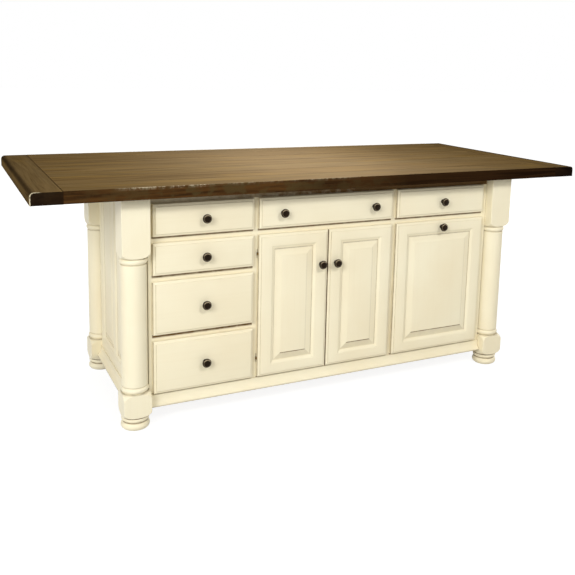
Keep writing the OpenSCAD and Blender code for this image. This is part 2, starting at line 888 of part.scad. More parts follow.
// Upright block with a rectangular plan that tapers evenly from its rim to its foot.
module tapered_block(w, l, h, taper) {
    intersection() {
        translate([-w / 2, -l / 2, 0]) rotate([90, 0, 0]) mirror([0, 0, 1])
            linear_extrude(l) polygon([[taper, 0], [0, h], [w, h], [w - taper, 0]]);
        translate([-w / 2, -l / 2, 0]) rotate([90, 0, 90])
            linear_extrude(w) polygon([[taper, 0], [0, h], [l, h], [l - taper, 0]]);
    }
}

module waste_bin() {
    body_w = bin_w - 2 * bin_rim_w;
    body_len = bin_l - 2 * bin_rim_w;
    inner_h = bin_h - bin_wall;
    inner_taper = bin_taper * inner_h / bin_h;
    bin_x = bay_x[2] + bay_w[2] / 2;
    bin_y = front_back + box_depth / 2;
    bin_z = front_bottom + overlay + box_lift + box_groove_rise + box_bottom_t;
    color(bin_grey) translate([bin_x, bin_y, bin_z]) difference() {
        union() {
            tapered_block(body_w, body_len, bin_h, bin_taper);
            translate([-bin_w / 2, -bin_l / 2, bin_h - bin_rim_h])
                cube([bin_w, bin_l, bin_rim_h]);
        }
        translate([0, 0, bin_wall])
            tapered_block(body_w - 2 * bin_wall, body_len - 2 * bin_wall, inner_h, inner_taper);
        translate([0, 0, bin_h])
            cube([body_w - 2 * bin_wall, body_len - 2 * bin_wall, 2 * cut], center = true);
    }
}

// ---------------------------------------------------------------- doors and hinges

// Places children in a door's own corner: x = 0 at its outer edge, growing towards the
// middle of the cupboard, y = 0 at its back, z = 0 at its lower edge.
module door_side(side) {
    x = side < 0 ? bay_x[1] : bay_x[1] + centre_front_w;
    translate([x, front_back, front_bottom])
        mirror(side < 0 ? [0, 0, 0] : [1, 0, 0]) children();
}

module knob_on_door() {
    translate([door_w - door_knob_inset, -front_t, door_h - door_knob_drop]) children();
}

// Hinge line in the door's own corner, at the middle of a hinge.
module hinge_line(z) {
    translate([hinge_x, hinge_y - front_back, z]) children();
}

module door_frame(side) {
    color(cream) door_side(side) difference() {
        door_members(door_w, door_h);
        knob_on_door() stud_hole();
        for (z = hinge_heights) hinge_line(z) {
            cylinder(r = notch_r, h = knuckle_l + 2 * knuckle_room, center = true);
            door_leaf_plate();
        }
    }
}

module door_panel_of(side) { color(cream_panel) door_side(side) door_panel(door_w, door_h); }
module door_knob(side) { door_side(side) knob_on_door() knob(); }

module knuckle(z0, z1) {
    translate([0, 0, z0]) cylinder(d = knuckle_d, h = z1 - z0);
}

module pin_bore() {
    cylinder(d = hinge_pin_d + 2 * running_fit, h = knuckle_l + 2 * cut, center = true);
}

// Plate of the leaf that is let into the frame's face, beside the hinge line.
module frame_leaf_plate() {
    translate([-leaf_t, knuckle_stand_off, -leaf_h / 2])
        cube([frame_leaf_w + leaf_t, leaf_t, leaf_h]);
}

// Plate of the leaf that is let into the door's back, with its arm to the knuckle.
module door_leaf_plate() {
    low = knuckle_gap / 2;
    translate([0, knuckle_stand_off - front_gap - leaf_t, 0]) {
        translate([0, 0, low]) cube([leaf_start + knuckle_gap, leaf_t, knuckle_l / 2 - low]);
        translate([leaf_start, 0, -leaf_h / 2])
            cube([door_leaf_w - leaf_start, leaf_t, leaf_h]);
    }
}

// Upper knuckle and the leaf let into the door's back.
module door_leaf() {
    difference() {
        union() {
            knuckle(knuckle_gap / 2, knuckle_l / 2);
            door_leaf_plate();
        }
        pin_bore();
    }
}

// Lower knuckle, its web and the leaf let into the frame's face.
module frame_leaf() {
    low = -knuckle_l / 2;
    high = -knuckle_gap / 2;
    difference() {
        union() {
            knuckle(low, high);
            translate([-leaf_t, 0, low])
                cube([2 * leaf_t, knuckle_stand_off + leaf_t, high - low]);
            frame_leaf_plate();
        }
        pin_bore();
    }
}

module all_hinges() {
    for (side = [-1, 1]) door_side(side)
        for (z = hinge_heights) hinge_line(z) children();
}

module hinge_frame_leaves() { color(bronze) all_hinges() frame_leaf(); }

module hinge_pins() {
    color(bronze) all_hinges() cylinder(d = hinge_pin_d, h = knuckle_l, center = true);
}

module door_hinge_leaves(side) {
    color(bronze) door_side(side) for (z = hinge_heights) hinge_line(z) door_leaf();
}

// ---------------------------------------------------------------- drawing

top_planks();
breadboard_ends();
front_left_post();
front_right_post();
back_left_post();
back_right_post();
bun_feet();
front_frame();
side_frames();
back_frame();
side_panels();
back_panels();
base_mouldings();
cabinet_sides();
cabinet_floors();
top_stretchers();
cabinet_slides();
hinge_frame_leaves();
hinge_pins();
cupboard_shelf();
shelf_pins();
for (d = DRAWERS) {
    drawer_front(d);
    drawer_box(d);
    drawer_knob(d);
    drawer_runners(d);
}
pull_out_frame();
pull_out_panel();
pull_out_knob();
pull_out_tray();
pull_out_runners();
waste_bin();
door_frame(-1);  // left_door_frame
door_panel_of(-1);  // left_door_panel
door_knob(-1);  // left_door_knob
door_hinge_leaves(-1);  // left_door_hinge_leaves
door_frame(1);  // right_door_frame
door_panel_of(1);  // right_door_panel
door_knob(1);  // right_door_knob
door_hinge_leaves(1);  // right_door_hinge_leaves
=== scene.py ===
from math import acos, asin, cos, degrees as in_degrees, pi, radians, sin, sqrt

import bpy
import numpy as np
from mathutils import Matrix, Vector, noise


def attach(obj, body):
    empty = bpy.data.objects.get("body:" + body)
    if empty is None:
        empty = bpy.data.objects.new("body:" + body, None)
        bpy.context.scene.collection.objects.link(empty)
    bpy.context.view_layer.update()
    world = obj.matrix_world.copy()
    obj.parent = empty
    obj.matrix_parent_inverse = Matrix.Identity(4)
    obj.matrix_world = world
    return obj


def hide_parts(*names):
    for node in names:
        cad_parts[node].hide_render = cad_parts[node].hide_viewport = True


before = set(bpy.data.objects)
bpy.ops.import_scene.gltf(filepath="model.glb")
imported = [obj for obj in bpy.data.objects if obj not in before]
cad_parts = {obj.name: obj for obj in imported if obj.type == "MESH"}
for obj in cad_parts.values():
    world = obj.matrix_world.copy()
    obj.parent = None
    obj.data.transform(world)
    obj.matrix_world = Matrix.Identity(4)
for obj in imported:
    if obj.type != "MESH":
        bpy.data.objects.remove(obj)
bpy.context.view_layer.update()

# Kitchen island. Sizes below are in millimetres, in the frame of the cabinet:
# X left to right along the front, Y front to back, Z up, zero on the floor under the
# middle of the top. Meshes are written in metres.
MM = 0.001

# ---- sizes

TOP_UNDER, TOP_UPPER = 870, 914
TOP_END, TOP_FRONT, TOP_BACK = 1168, -511, 511
PLANK_END, PLANK_COUNT = 1063, 7
TOP_CORNER, END_ROUND = 4, 16

POST_HALF = 51
POST_X, POST_FRONT_Y, POST_BACK_Y = 812, -404, 214
FOOT_H, LOWER_TOP, UPPER_FOOT = 50, 140, 648
POST_NECK, FOOT_NECK, TURNED_END = 44.5, 46, 30

FRAME_FACE, FRAME_T, BACK_FACE = -410, 19, 220
FACE_END = POST_X - POST_HALF
SIDE_FACE, SIDE_FRONT, SIDE_BACK = 799, POST_FRONT_Y + POST_HALF, POST_BACK_Y - POST_HALF
SIDE_SPAN = SIDE_BACK - SIDE_FRONT
BASE_BOTTOM = 70
WALL_H = TOP_UNDER - BASE_BOTTOM
FRONT_BACK, FRONT_T = -411, 19
OVERLAY = 10
JOINT = 0.1  # half of the hairline between members of one frame
BAYS = ((-747, -354), (-334, 266), (286, 737))
SHALLOW = ((716, 836), (572, 692))
DEEP = ((346, 548), (120, 322))
TALL = (120, 692)
FLOOR_TOP, FRONTS_TOP, REVEAL = 130, 836, 24

# name, its width, its height, knobs
DRAWERS = (
    ("left_drawer_1", BAYS[0], SHALLOW[0], 1),
    ("left_drawer_2", BAYS[0], SHALLOW[1], 1),
    ("left_drawer_3", BAYS[0], DEEP[0], 1),
    ("left_drawer_4", BAYS[0], DEEP[1], 1),
    ("centre_drawer", BAYS[1], SHALLOW[0], 2),
    ("right_drawer", BAYS[2], SHALLOW[0], 1),
)
# name, its width, the knob's X, the hinge's X
DOORS = (
    ("left_door", (-334, -35.5), -67.5, -335),
    ("right_door", (-32.5, 266), -0.5, 267),
)
DOOR_STILE, DOOR_RAIL = 66, 59
WALL_STILE, WALL_TOP_RAIL, WALL_FOOT_RAIL = 57, 60, 105
HINGE_HEIGHTS, HINGE_Y = (195, 617), -414.3
KNOB_ASIDE, PULL_KNOB_DOWN, DOOR_KNOB_DOWN = 96, 26, 136


# ---- node bench

def tint(red, green, blue):
    """Screen colour, 0 to 255, as linear light."""
    def straight(value):
        value /= 255
        return value / 12.92 if value <= 0.04045 else ((value + 0.055) / 1.055) ** 2.4
    return (straight(red), straight(green), straight(blue), 1)


class Wire:
    """An output of a node, which can be added, multiplied and so on."""
    def __init__(self, bench, socket):
        self.bench = bench
        self.socket = socket

    def __add__(self, other): return self.bench.sum("ADD", self, other)
    def __sub__(self, other): return self.bench.sum("SUBTRACT", self, other)
    def __rsub__(self, other): return self.bench.sum("SUBTRACT", other, self)
    def __mul__(self, other): return self.bench.sum("MULTIPLY", self, other)
    def __truediv__(self, other): return self.bench.sum("DIVIDE", self, other)


class Bench:
    """Puts nodes into a tree and joins them up."""
    def __init__(self, tree):
        self.tree = tree

    def put(self, kind, inputs=(), out=0, **settings):
        """Adds a shader node, or one of another family if the kind says so."""
        node = self.tree.nodes.new(kind if "Node" in kind else "ShaderNode" + kind)
        for name, value in settings.items():
            setattr(node, name, value)
        for key, value in dict(inputs).items():
            socket = node.inputs[key] if isinstance(key, int) else next(
                s for s in node.inputs if key in (s.identifier, s.name))
            if isinstance(value, Wire):
                self.tree.links.new(value.socket, socket)
            elif value is not None:
                socket.default_value = value
        return node if out is None else Wire(self, node.outputs[out])

    def sum(self, operation, a, b=None):
        return self.put("Math", {0: a, 1: b}, operation=operation)

    def spread(self, value, low, high, start=0, end=1):
        """value from low..high to start..end, held at the ends."""
        return self.put("MapRange", {
            "Value": value, "From Min": low, "From Max": high, "To Min": start, "To Max": end})

    def parts(self, vector):
        node = self.put("SeparateXYZ", {0: vector}, out=None)
        return [Wire(self, s) for s in node.outputs]

    def point(self, x, y, z):
        return self.put("CombineXYZ", {0: x, 1: y, 2: z})

    # for materials
    def place(self):
        return self.put("TexCoord", out="Object")

    def stretched(self, vector, scale):
        return self.put("Mapping", {"Vector": vector, "Scale": scale})

    def cloud(self, vector, scale, detail=3, rough=0.5, bend=0):
        return self.put("TexNoise", {
            "Vector": vector, "Scale": scale, "Detail": detail,
            "Roughness": rough, "Distortion": bend})

    def blend(self, amount, first, second):
        """first to second. Three plain numbers are a screen colour."""
        first, second = (tint(*c) if isinstance(c, tuple) and len(c) == 3 else c
                for c in (first, second))
        return self.put("Mix", {
            "Factor_Float": amount, "A_Color": first, "B_Color": second}, out=2, data_type="RGBA")

    def between(self, value, low, high, first, second):
        """first where value is low, second where it is high."""
        return self.blend(self.spread(value, low, high), first, second)

    def stained(self, under, value, low, high, most, colour):
        """colour laid over under as value rises from low to high, and at most so strong."""
        return self.blend(self.spread(value, low, high, 0, most), under, colour)

    def marked(self, name):
        return self.put("Attribute", out=2, attribute_name=name)

    def raised(self, height, strength, distance):
        return self.put("Bump", {
            "Height": height, "Strength": strength, "Distance": distance})


def cleared(owner):
    """A bench on the emptied node tree of a material or a world."""
    owner.use_nodes = True
    owner.node_tree.nodes.clear()
    return Bench(owner.node_tree)


def finish_material(name, build, *choice):
    """A material whose shader's inputs build() returns, by socket name."""
    material = bpy.data.materials.new(name)
    bench = cleared(material)
    shader = bench.put("BsdfPrincipled", build(bench, *choice))
    bench.put("OutputMaterial", {"Surface": shader}, out=None)
    return material


# ---- finishes

def cream_paint(bench):
    """Sprayed cream paint over wood, wiped with brown glazing that stays in the corners, with painted shade
    laid on in the same brown.

    "glaze" marks where the glazing gathers and where shade is painted, such as a painted shadow under each
    front, and "level" marks where the brush marks lie level.
    """
    where = bench.place()
    upright = bench.cloud(bench.stretched(where, (9, 9, 0.35)), 9, 4, 0.55, 0.4)
    level = bench.cloud(bench.stretched(where, (0.35, 0.35, 9)), 9, 4, 0.55, 0.4)
    brushed = upright + (level - upright) * bench.marked("level")
    patches = bench.cloud(where, 3.2)
    specks = bench.cloud(where, 420, 2, 0.6)
    film = bench.between(patches, 0.35, 0.7, (247, 239, 211), (243, 232, 201))
    film = bench.stained(film, brushed, 0.5, 0.8, 0.09, (226, 209, 168))
    # painted shade and glazing, laid on in brown where glaze marks, broken up by noise
    breaks = bench.cloud(where, 34, 3, 0.6)
    line = bench.marked("glaze") * bench.spread(breaks, 0.28, 0.62, 0.75, 1.15)
    line = bench.sum("MINIMUM", line, 1)
    return {
        "Base Color": bench.blend(line, film, (116, 88, 50)),
        "Roughness": bench.spread(patches, 0.3, 0.7, 0.36, 0.46) + line * 0.25,
        "Normal": bench.raised(brushed * 0.6 + specks * 0.25, 0.06, 0.001),
        "Specular IOR Level": 0.15,
    }


def walnut(bench, axis):
    """Stained, hand-scraped planks: long soft figure, thin dark streaks, edges pale from wear and from a
    painted highlight, and a painted sheen that pales the middle of the top.

    "side" marks the sawn sides, "joint" the lines between boards, "worn" the pale arris, and "board" gives
    each board its own figure.
    """
    where = bench.place()
    board = bench.marked("board")
    x, y, z = bench.parts(where)
    shifted = bench.point(x + board * 7.3, y + board * 3.1, z)

    def grain(along, across, scale, detail, rough, bend):
        lengthwise = (along, across, across) if axis == "x" else (across, along, across)
        return bench.cloud(bench.stretched(shifted, lengthwise), scale, detail, rough, bend)

    figure = grain(1, 15, 1.5, 5, 0.6, 1)
    fibres = grain(3, 140, 1, 4, 0.65, 0.3)
    streaks = grain(1.5, 42, 1.4, 3, 0.6, 1.2)
    gold = grain(1.2, 8, 1.9, 3, 0.5, 0.8)
    ash = grain(0.9, 6, 2.3, 3, 0.5, 0.8)
    wood = bench.between(figure, 0.32, 0.68, (86, 68, 40), (118, 97, 63))
    for value, low, high, most, colour in (
            (board, 0, 1, 0.3, (100, 75, 42)), (gold, 0.5, 0.68, 0.6, (126, 99, 52)),
            (ash, 0.52, 0.7, 0.5, (104, 88, 60)), (fibres, 0.45, 0.75, 0.35, (138, 114, 74)),
            (streaks, 0.6, 0.7, 0.6, (62, 45, 24))):
        wood = bench.stained(wood, value, low, high, most, colour)
    # painted sheen: the middle of the top is paled towards a grey buff, fading out towards both ends
    middle = bench.spread(bench.sum("ABSOLUTE", x), 0.2, 0.95, 0.32, 0)
    wood = bench.blend(middle, wood, (118, 106, 90))
    mottle = bench.cloud(bench.stretched(where, (1, 1, 1.6)), 22, 4, 0.65)
    if axis == "x":
        drift = x * 0.9 + bench.cloud(where, 2.3, 2) - 0.5
        russet = bench.between(streaks, 0.4, 0.62, (80, 54, 27), (50, 32, 16))
        umber = bench.between(streaks, 0.4, 0.62, (47, 30, 15), (30, 18, 9))
        olive = bench.spread(mottle, 0.47, 0.58, 0, 0.8) * bench.spread(x, -1, -0.6, 0.3, 1)
        sides = bench.between(drift, -0.1, 0.35, bench.blend(olive, russet, (74, 60, 35)), umber)
    else:
        sides = bench.between(mottle, 0.35, 0.65, (27, 18, 12), (42, 31, 19))
        sides = bench.between(x, 0, 1, sides, (20, 13, 9))
        wood = bench.blend(0.16, wood, (40, 30, 16))
        wood = bench.stained(wood, x, 1.13, 1.16, 0.85, (26, 18, 12))
    wood = bench.blend(bench.marked("side"), wood, sides)
    wood = bench.blend(bench.marked("joint") * 0.85, wood, (40, 27, 15))
    # pale flecks along the arris: partly wear, partly a painted highlight
    flakes = bench.spread(bench.cloud(where, 150, 4, 0.7), 0.42, 0.54)
    worn = bench.sum("MINIMUM", bench.marked("worn") * (flakes + 0.15) * 1.6, 1)
    return {
        "Base Color": bench.blend(worn, wood, (206, 194, 164)),
        "Roughness": bench.spread(figure, 0.3, 0.7, 0.5, 0.62),
        "Normal": bench.raised(fibres * 0.5 + figure * 0.7 + streaks * 0.3, 0.22, 0.0012),
        "Specular IOR Level": 0,
    }


def bronze(bench):
    """Bronze finished near black with oil, with lighter patches where hands rub it, and a painted highlight
    on the upper rim, where "glaze" marks it and the surface faces up.
    """
    where = bench.place()
    rubbed_and_highlit = bench.cloud(where, 90, 3, 0.6)
    skin = bench.stained((20, 13, 7), rubbed_and_highlit, 0.45, 0.72, 0.5, (44, 29, 16))
    # painted highlight: the marked rim is lightened where its surface faces up
    up = bench.parts(bench.put("NewGeometry", out="Normal"))[2]
    painted_highlight = bench.marked("glaze") * bench.spread(up, 0.22, 0.38, 0.2, 1)
    return {
        "Base Color": bench.blend(painted_highlight, skin, (212, 194, 162)),
        "Roughness": bench.spread(rubbed_and_highlit, 0.3, 0.7, 0.16, 0.26),
        "Normal": bench.raised(bench.cloud(where, 600, 2, 0.6), 0.05, 0.0003),
        "Specular IOR Level": 0.12,
        "Specular Tint": (1, 0.72, 0.5, 1),
    }


def hinge_brass(bench):
    """Aged brass that has gone brown, in lighter and darker patches."""
    where = bench.place()
    tarnish = bench.cloud(where, 140, 4, 0.6)
    return {
        "Base Color": bench.between(tarnish, 0.35, 0.7, (112, 88, 52), (150, 124, 78)),
        "Metallic": 0.9,
        "Roughness": bench.spread(tarnish, 0.3, 0.7, 0.32, 0.5),
        "Normal": bench.raised(bench.cloud(where, 900, 2, 0.6), 0.08, 0.0002),
    }


def birch(bench, axis):
    """Clear lacquered birch: pale, with fine long pores and slow colour bands."""
    where = bench.place()
    stretch = tuple(1 if axis == each else 14 for each in "xyz")
    bands = bench.cloud(bench.stretched(where, stretch), 2.2, 4, 0.55, 0.8)
    pores = bench.cloud(bench.stretched(where, tuple(s * 14 for s in stretch)), 1.6, 3, 0.6)
    wood = bench.between(bands, 0.3, 0.7, (214, 184, 138), (234, 211, 172))
    return {
        "Base Color": bench.stained(wood, pores, 0.52, 0.75, 0.4, (186, 150, 104)),
        "Roughness": bench.spread(bands, 0.3, 0.7, 0.38, 0.5),
        "Normal": bench.raised(pores * 0.6 + bands * 0.4, 0.15, 0.0006),
    }


def zinc(bench):
    """Rolled zinc-plated steel with faint crystals and draw lines."""
    where = bench.place()
    lines = bench.cloud(bench.stretched(where, (300, 2, 300)), 1, 2)
    bloom = bench.cloud(where, 60, 3, 0.6)
    return {
        "Base Color": bench.between(bloom, 0.3, 0.7, (176, 178, 182), (206, 208, 212)),
        "Metallic": 1,
        "Roughness": bench.spread(lines, 0.3, 0.7, 0.28, 0.44),
        "Normal": bench.raised(lines, 0.1, 0.0003),
    }


def moulded_grey(bench):
    """Grey moulded plastic with a fine pebbled skin."""
    where = bench.place()
    pebbles = bench.put("TexVoronoi", {"Vector": where, "Scale": 900})
    bloom = bench.cloud(where, 7)
    return {
        "Base Color": bench.between(bloom, 0.35, 0.65, (146, 150, 154), (158, 161, 164)),
        "Roughness": bench.spread(bloom, 0.3, 0.7, 0.48, 0.58),
        "Normal": bench.raised(pebbles, 0.12, 0.0004),
    }


CREAM = finish_material("glazed_cream_paint", cream_paint)
WALNUT_LONG = finish_material("dark_walnut_planks", walnut, "x")
WALNUT_CROSS = finish_material("dark_walnut_cross_boards", walnut, "y")
BRONZE = finish_material("oil_rubbed_bronze", bronze)
BRASS = finish_material("aged_hinge_brass", hinge_brass)
BIRCH_X = finish_material("birch_along_x", birch, "x")
BIRCH_Y = finish_material("birch_along_y", birch, "y")
ZINC = finish_material("zinc_plated_steel", zinc)
BIN_GREY = finish_material("grey_plastic", moulded_grey)


# ---- meshes

class Blank:
    """Points, faces and marks of one piece while it is being made.

    A mark holds a value for each point, or for each corner of each face in turn.
    """
    def __init__(self):
        self.points = []
        self.faces = []
        self.marks = {}
        self.corners = {}
        self.count = 0

    def add(self, points, faces, corners=None, **marks):
        points = np.asarray(points, float).reshape(-1, 3)
        start = self.count
        self.points.append(points)
        self.count += len(points)
        for name in sorted(set(marks) | set(self.marks)):
            values = np.asarray(marks.get(name, 0), float)
            self.marks.setdefault(name, [np.zeros(start)])
            self.marks[name].append(np.broadcast_to(values, (len(points),)))
        for name, values in (corners or {}).items():
            self.corners.setdefault(name, []).extend(values)
        self.faces += [tuple(int(i) + start for i in face) for face in faces]

    def mesh(self, name):
        mesh = bpy.data.meshes.new(name)
        mesh.from_pydata(np.concatenate(self.points) * MM, [], self.faces)
        mesh.update()
        runs = [(mark, "POINT", np.concatenate(values)) for mark, values in self.marks.items()]
        runs += [(mark, "CORNER", np.array(values)) for mark, values in self.corners.items()]
        for mark, domain, values in runs:
            layer = mesh.attributes.new(mark, "FLOAT", domain)
            layer.data.foreach_set("value", values.astype(np.float32))
        return mesh


def linked(name, data):
    thing = bpy.data.objects.new(name, data)
    bpy.context.scene.collection.objects.link(thing)
    return thing


def made_real(thing):
    """Gives the object the mesh that its modifiers make, and takes them off."""
    seen = thing.evaluated_get(bpy.context.evaluated_depsgraph_get())
    made = bpy.data.meshes.new_from_object(seen)
    thing.modifiers.clear()
    thing.data = made
    return made


def sharpen(mesh, degrees=32):
    """Smooth shading, broken where two faces meet at more than the given angle."""
    mesh.shade_smooth()
    mesh.set_sharp_from_angle(angle=radians(degrees))


def show(name, blank, material, body, replaced=(), degrees=32):
    """Makes the piece, lets it ride on its body and takes the place of CAD nodes."""
    mesh = blank.mesh(name)
    mesh.materials.append(material)
    sharpen(mesh, degrees)
    return settle(linked(name, mesh), body, replaced)


def settle(piece, body, replaced):
    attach(piece, body)
    if replaced:
        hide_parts(*replaced)
    return piece


def grid_faces(rows, columns, closed=False):
    """Quads of a grid of points, row after row. closed joins the last column to the first."""
    faces = []
    for row in range(rows - 1):
        for column in range(columns if closed else columns - 1):
            a = row * columns + column
            b = row * columns + (column + 1) % columns
            faces.append((a, b, b + columns, a + columns))
    return faces


# A glaze value in a profile is one number, or one for each of these sides. Values that differ by side lay
# painted shade on the sides where shade falls.
SIDES = ("bottom", "right", "top", "left")


def on_side(glaze, side):
    return glaze[SIDES.index(side)] if isinstance(glaze, tuple) else glaze


def framed_mesh(blank, turn, width, height, outer, inner, bars):
    """A flat frame or board lying in X and Z and facing -Y, with moulded edges.

    outer and inner list (inset, height above the back, glaze): outer runs from the back
    to the face round the outside, inner from the face down into each opening, with its
    inset counted from the opening outwards. bars lists the openings as (x0, x1, z0, z1).
    turn places the result. With no openings the board is solid.
    """
    face_inset, thick, _ = outer[-1]
    lip = inner[0][0] if inner else 0
    xs = sorted({v for o in bars for v in o[:2]})
    zs = sorted({v for o in bars for v in o[2:]})
    nx, nz = len(xs) + 2, len(zs) + 2
    left_sides, low_sides = {o[0] for o in bars}, {o[2] for o in bars}
    wide_board = not bars and width > height
    points, marks, faces, index = [], [], [], {}
    corners = {"glaze": [], "level": []}

    def lines(cuts, near_sides, size, inset, gap):
        return [inset] + [v - gap if v in near_sides else v + gap for v in cuts] + [size - inset]

    def ring(inset, gap):
        """Coordinates of the grid, with the outside drawn in and the openings widened."""
        return lines(xs, left_sides, width, inset, gap), lines(zs, low_sides, height, inset, gap)

    def vertex(key, i, j, grid, up, glaze):
        if key not in index:
            index[key] = len(points)
            points.append((grid[0][i], -up, grid[1][j]))
            marks.append(glaze)
        return index[key]

    def lay(loop, level, glaze):
        faces.append(tuple(loop))
        corners["glaze"] += glaze
        corners["level"] += [float(level or wide_board)] * len(loop)

    def wall(low, high, sides):
        for k, side in enumerate(sides):
            n = (k + 1) % len(low)
            loop = (low[k], low[n], high[n], high[k])
            lay(loop, side in ("bottom", "top"), [on_side(marks[i], side) for i in loop])

    def spans(cuts, k, low, high):
        return 0 < k < len(cuts) and low <= (cuts[k - 1] + cuts[k]) / 2 <= high

    # the face and the back
    for name, grid, up in (("face", ring(face_inset, lip), thick),
            ("back", ring(outer[0][0], 0), 0)):
        for i in range(nx - 1):
            in_columns = [o for o in bars if spans(xs, i, o[0], o[1])]
            for j in range(nz - 1):
                if any(spans(zs, j, o[2], o[3]) for o in in_columns):
                    continue
                quad = [(i, j), (i + 1, j), (i + 1, j + 1), (i, j + 1)]
                loop = [vertex((name, a, b), a, b, grid, up, 0)
                        for a, b in (quad if name == "face" else reversed(quad))]
                lay(loop, bool(in_columns), [0 if name == "face" else 0.3] * 4)

    # the outside, between back and face
    rim = [(i, 0) for i in range(nx)] + [(nx - 1, j) for j in range(1, nz)]
    rim += [(i, nz - 1) for i in range(nx - 2, -1, -1)] + [(0, j) for j in range(nz - 2, 0, -1)]
    sides = [side for side, n in zip(SIDES, (nx, nz, nx, nz)) for _ in range(n - 1)]
    previous = [index["back", a, b] for a, b in rim]
    for step, (inset, up, glaze) in enumerate(outer[1:-1]):
        grid = ring(inset, lip * up / thick)
        current = [vertex(("outer", step, a, b), a, b, grid, up, glaze) for a, b in rim]
        wall(previous, current, sides)
        previous = current
    wall(previous, [index["face", a, b] for a, b in rim], sides)

    # each opening, from the face to the back
    for number, (x0, x1, z0, z1) in enumerate(bars):
        i, k = xs.index(x0) + 1, xs.index(x1) + 1
        j, m = zs.index(z0) + 1, zs.index(z1) + 1
        loop = [(i, j), (k, j), (k, m), (i, m)]
        previous = [index["face", a, b] for a, b in loop]
        for step, (gap, up, glaze) in enumerate(inner[1:-1]):
            grid = ring(0, gap)
            current = [vertex(("inner", number, step, a, b), a, b, grid, up, glaze) for a, b in loop]
            wall(previous, current, SIDES)
            previous = current
        wall(previous, [index["back", a, b] for a, b in loop], SIDES)
    blank.add([turn @ Vector(p) for p in points], faces, corners)


def solid_board(blank, turn, width, height, profile):
    """A board whose edge follows profile on all four sides."""
    framed_mesh(blank, turn, width, height, profile, (), ())


def at(x, y, z, degrees=0):
    return Matrix.Translation((x, y, z)) @ Matrix.Rotation(radians(degrees), 4, "Z")


# ---- turned pieces

def turned_tree():
    """Turns a profile round an upright axis and sets it down at every place.

    The incoming mesh holds the profile, as points with X the radius and Z the height, and
    the places, as loose points marked "place". Where the profile is marked "square", the
    turning is cut by a square block.
    """
    tree = bpy.data.node_groups.new("turned_piece", "GeometryNodeTree")
    sockets = {}
    for name, kind, value in (
            ("Profile and places", "Geometry", None), ("Steps on each face", "Int", 8),
            ("Steps on each corner", "Int", 4), ("Half width of block", "Float", POST_HALF * MM),
            ("Tilt", "Rotation", None), ("Finish", "Material", None)):
        item = tree.interface.new_socket(name=name, in_out="INPUT", socket_type="NodeSocket" + kind)
        sockets[name] = item.identifier
        if value is not None:
            item.default_value = value
    tree.interface.new_socket(name="Turned piece", in_out="OUTPUT", socket_type="NodeSocketGeometry")
    bench = Bench(tree)
    incoming = bench.put("NodeGroupInput", out=None)
    geometry, face_steps, corner_steps, half, tilt, finish = (
        Wire(bench, s) for s in incoming.outputs[:len(sockets)])

    def node(kind, inputs=(), **settings):
        return bench.put("GeometryNode" + kind, inputs, **settings)

    def marked(name):
        return node("InputNamedAttribute", {"Name": name}, data_type="FLOAT")

    is_place = bench.put("FunctionNodeCompare", {"A": marked("place"), "B": 0.5},
            data_type="FLOAT", operation="GREATER_THAN")
    split = node("SeparateGeometry", {"Geometry": geometry, "Selection": is_place},
            out=None, domain="POINT")
    places, profile = (Wire(bench, s) for s in split.outputs)
    rings = node("AttributeDomainSize", {"Geometry": profile}, component="MESH")
    quarter_steps = face_steps + corner_steps
    columns = quarter_steps * 4 + 1
    grid = node("MeshGrid", {"Size X": 1, "Size Y": 1, "Vertices X": rings, "Vertices Y": columns})
    number = node("InputIndex")
    ring = bench.sum("FLOOR", (number + 0.5) / columns)
    column = number - ring * columns

    def from_profile(value, kind="FLOAT"):
        return node("SampleIndex", {"Geometry": profile, "Value": value, "Index": ring},
                data_type=kind, domain="POINT")

    radius, _, height = bench.parts(from_profile(node("InputPosition"), "FLOAT_VECTOR"))
    square = from_profile(marked("square"))
    glaze = from_profile(marked("glaze"))
    ratio = bench.sum("MINIMUM", half / bench.sum("MAXIMUM", radius, 0.0001), 1)
    reach = bench.sum("ARCCOSINE", ratio) * square + (1 - square) * 0.7
    quarter = bench.sum("FLOOR", (column + 0.5) / quarter_steps)
    step = column - quarter * quarter_steps
    on_face = bench.sum("MINIMUM", step, face_steps) / face_steps
    on_corner = bench.sum("MAXIMUM", step - face_steps, 0) / corner_steps
    quarter_turn = pi / 2
    swing = reach * on_face * 2 - reach + (quarter_turn - reach * 2) * on_corner
    flat = half / bench.sum("MAXIMUM", bench.sum("COSINE", swing), 0.05)
    true_radius = bench.sum("MINIMUM", radius, flat) * square + radius * (1 - square)
    angle = quarter * quarter_turn + swing
    spot = bench.point(bench.sum("COSINE", angle) * true_radius,
            bench.sum("SINE", angle) * true_radius, height)
    shaped = node("SetPosition", {"Geometry": grid, "Position": spot})
    shaped = node("StoreNamedAttribute", {"Geometry": shaped, "Name": "glaze", "Value": glaze},
            data_type="FLOAT", domain="POINT")
    closed = node("MergeByDistance", {"Geometry": shaped, "Distance": 0.00002})
    outwards = node("FlipFaces", {"Mesh": closed})
    set_down = node("InstanceOnPoints", {"Points": places, "Instance": outwards, "Rotation": tilt})
    real = node("RealizeInstances", {"Geometry": set_down})
    done = node("SetMaterial", {"Geometry": real, "Material": finish})
    bench.put("NodeGroupOutput", {0: done}, out=None)
    return tree, sockets


TURNED, TURNED_INPUTS = turned_tree()


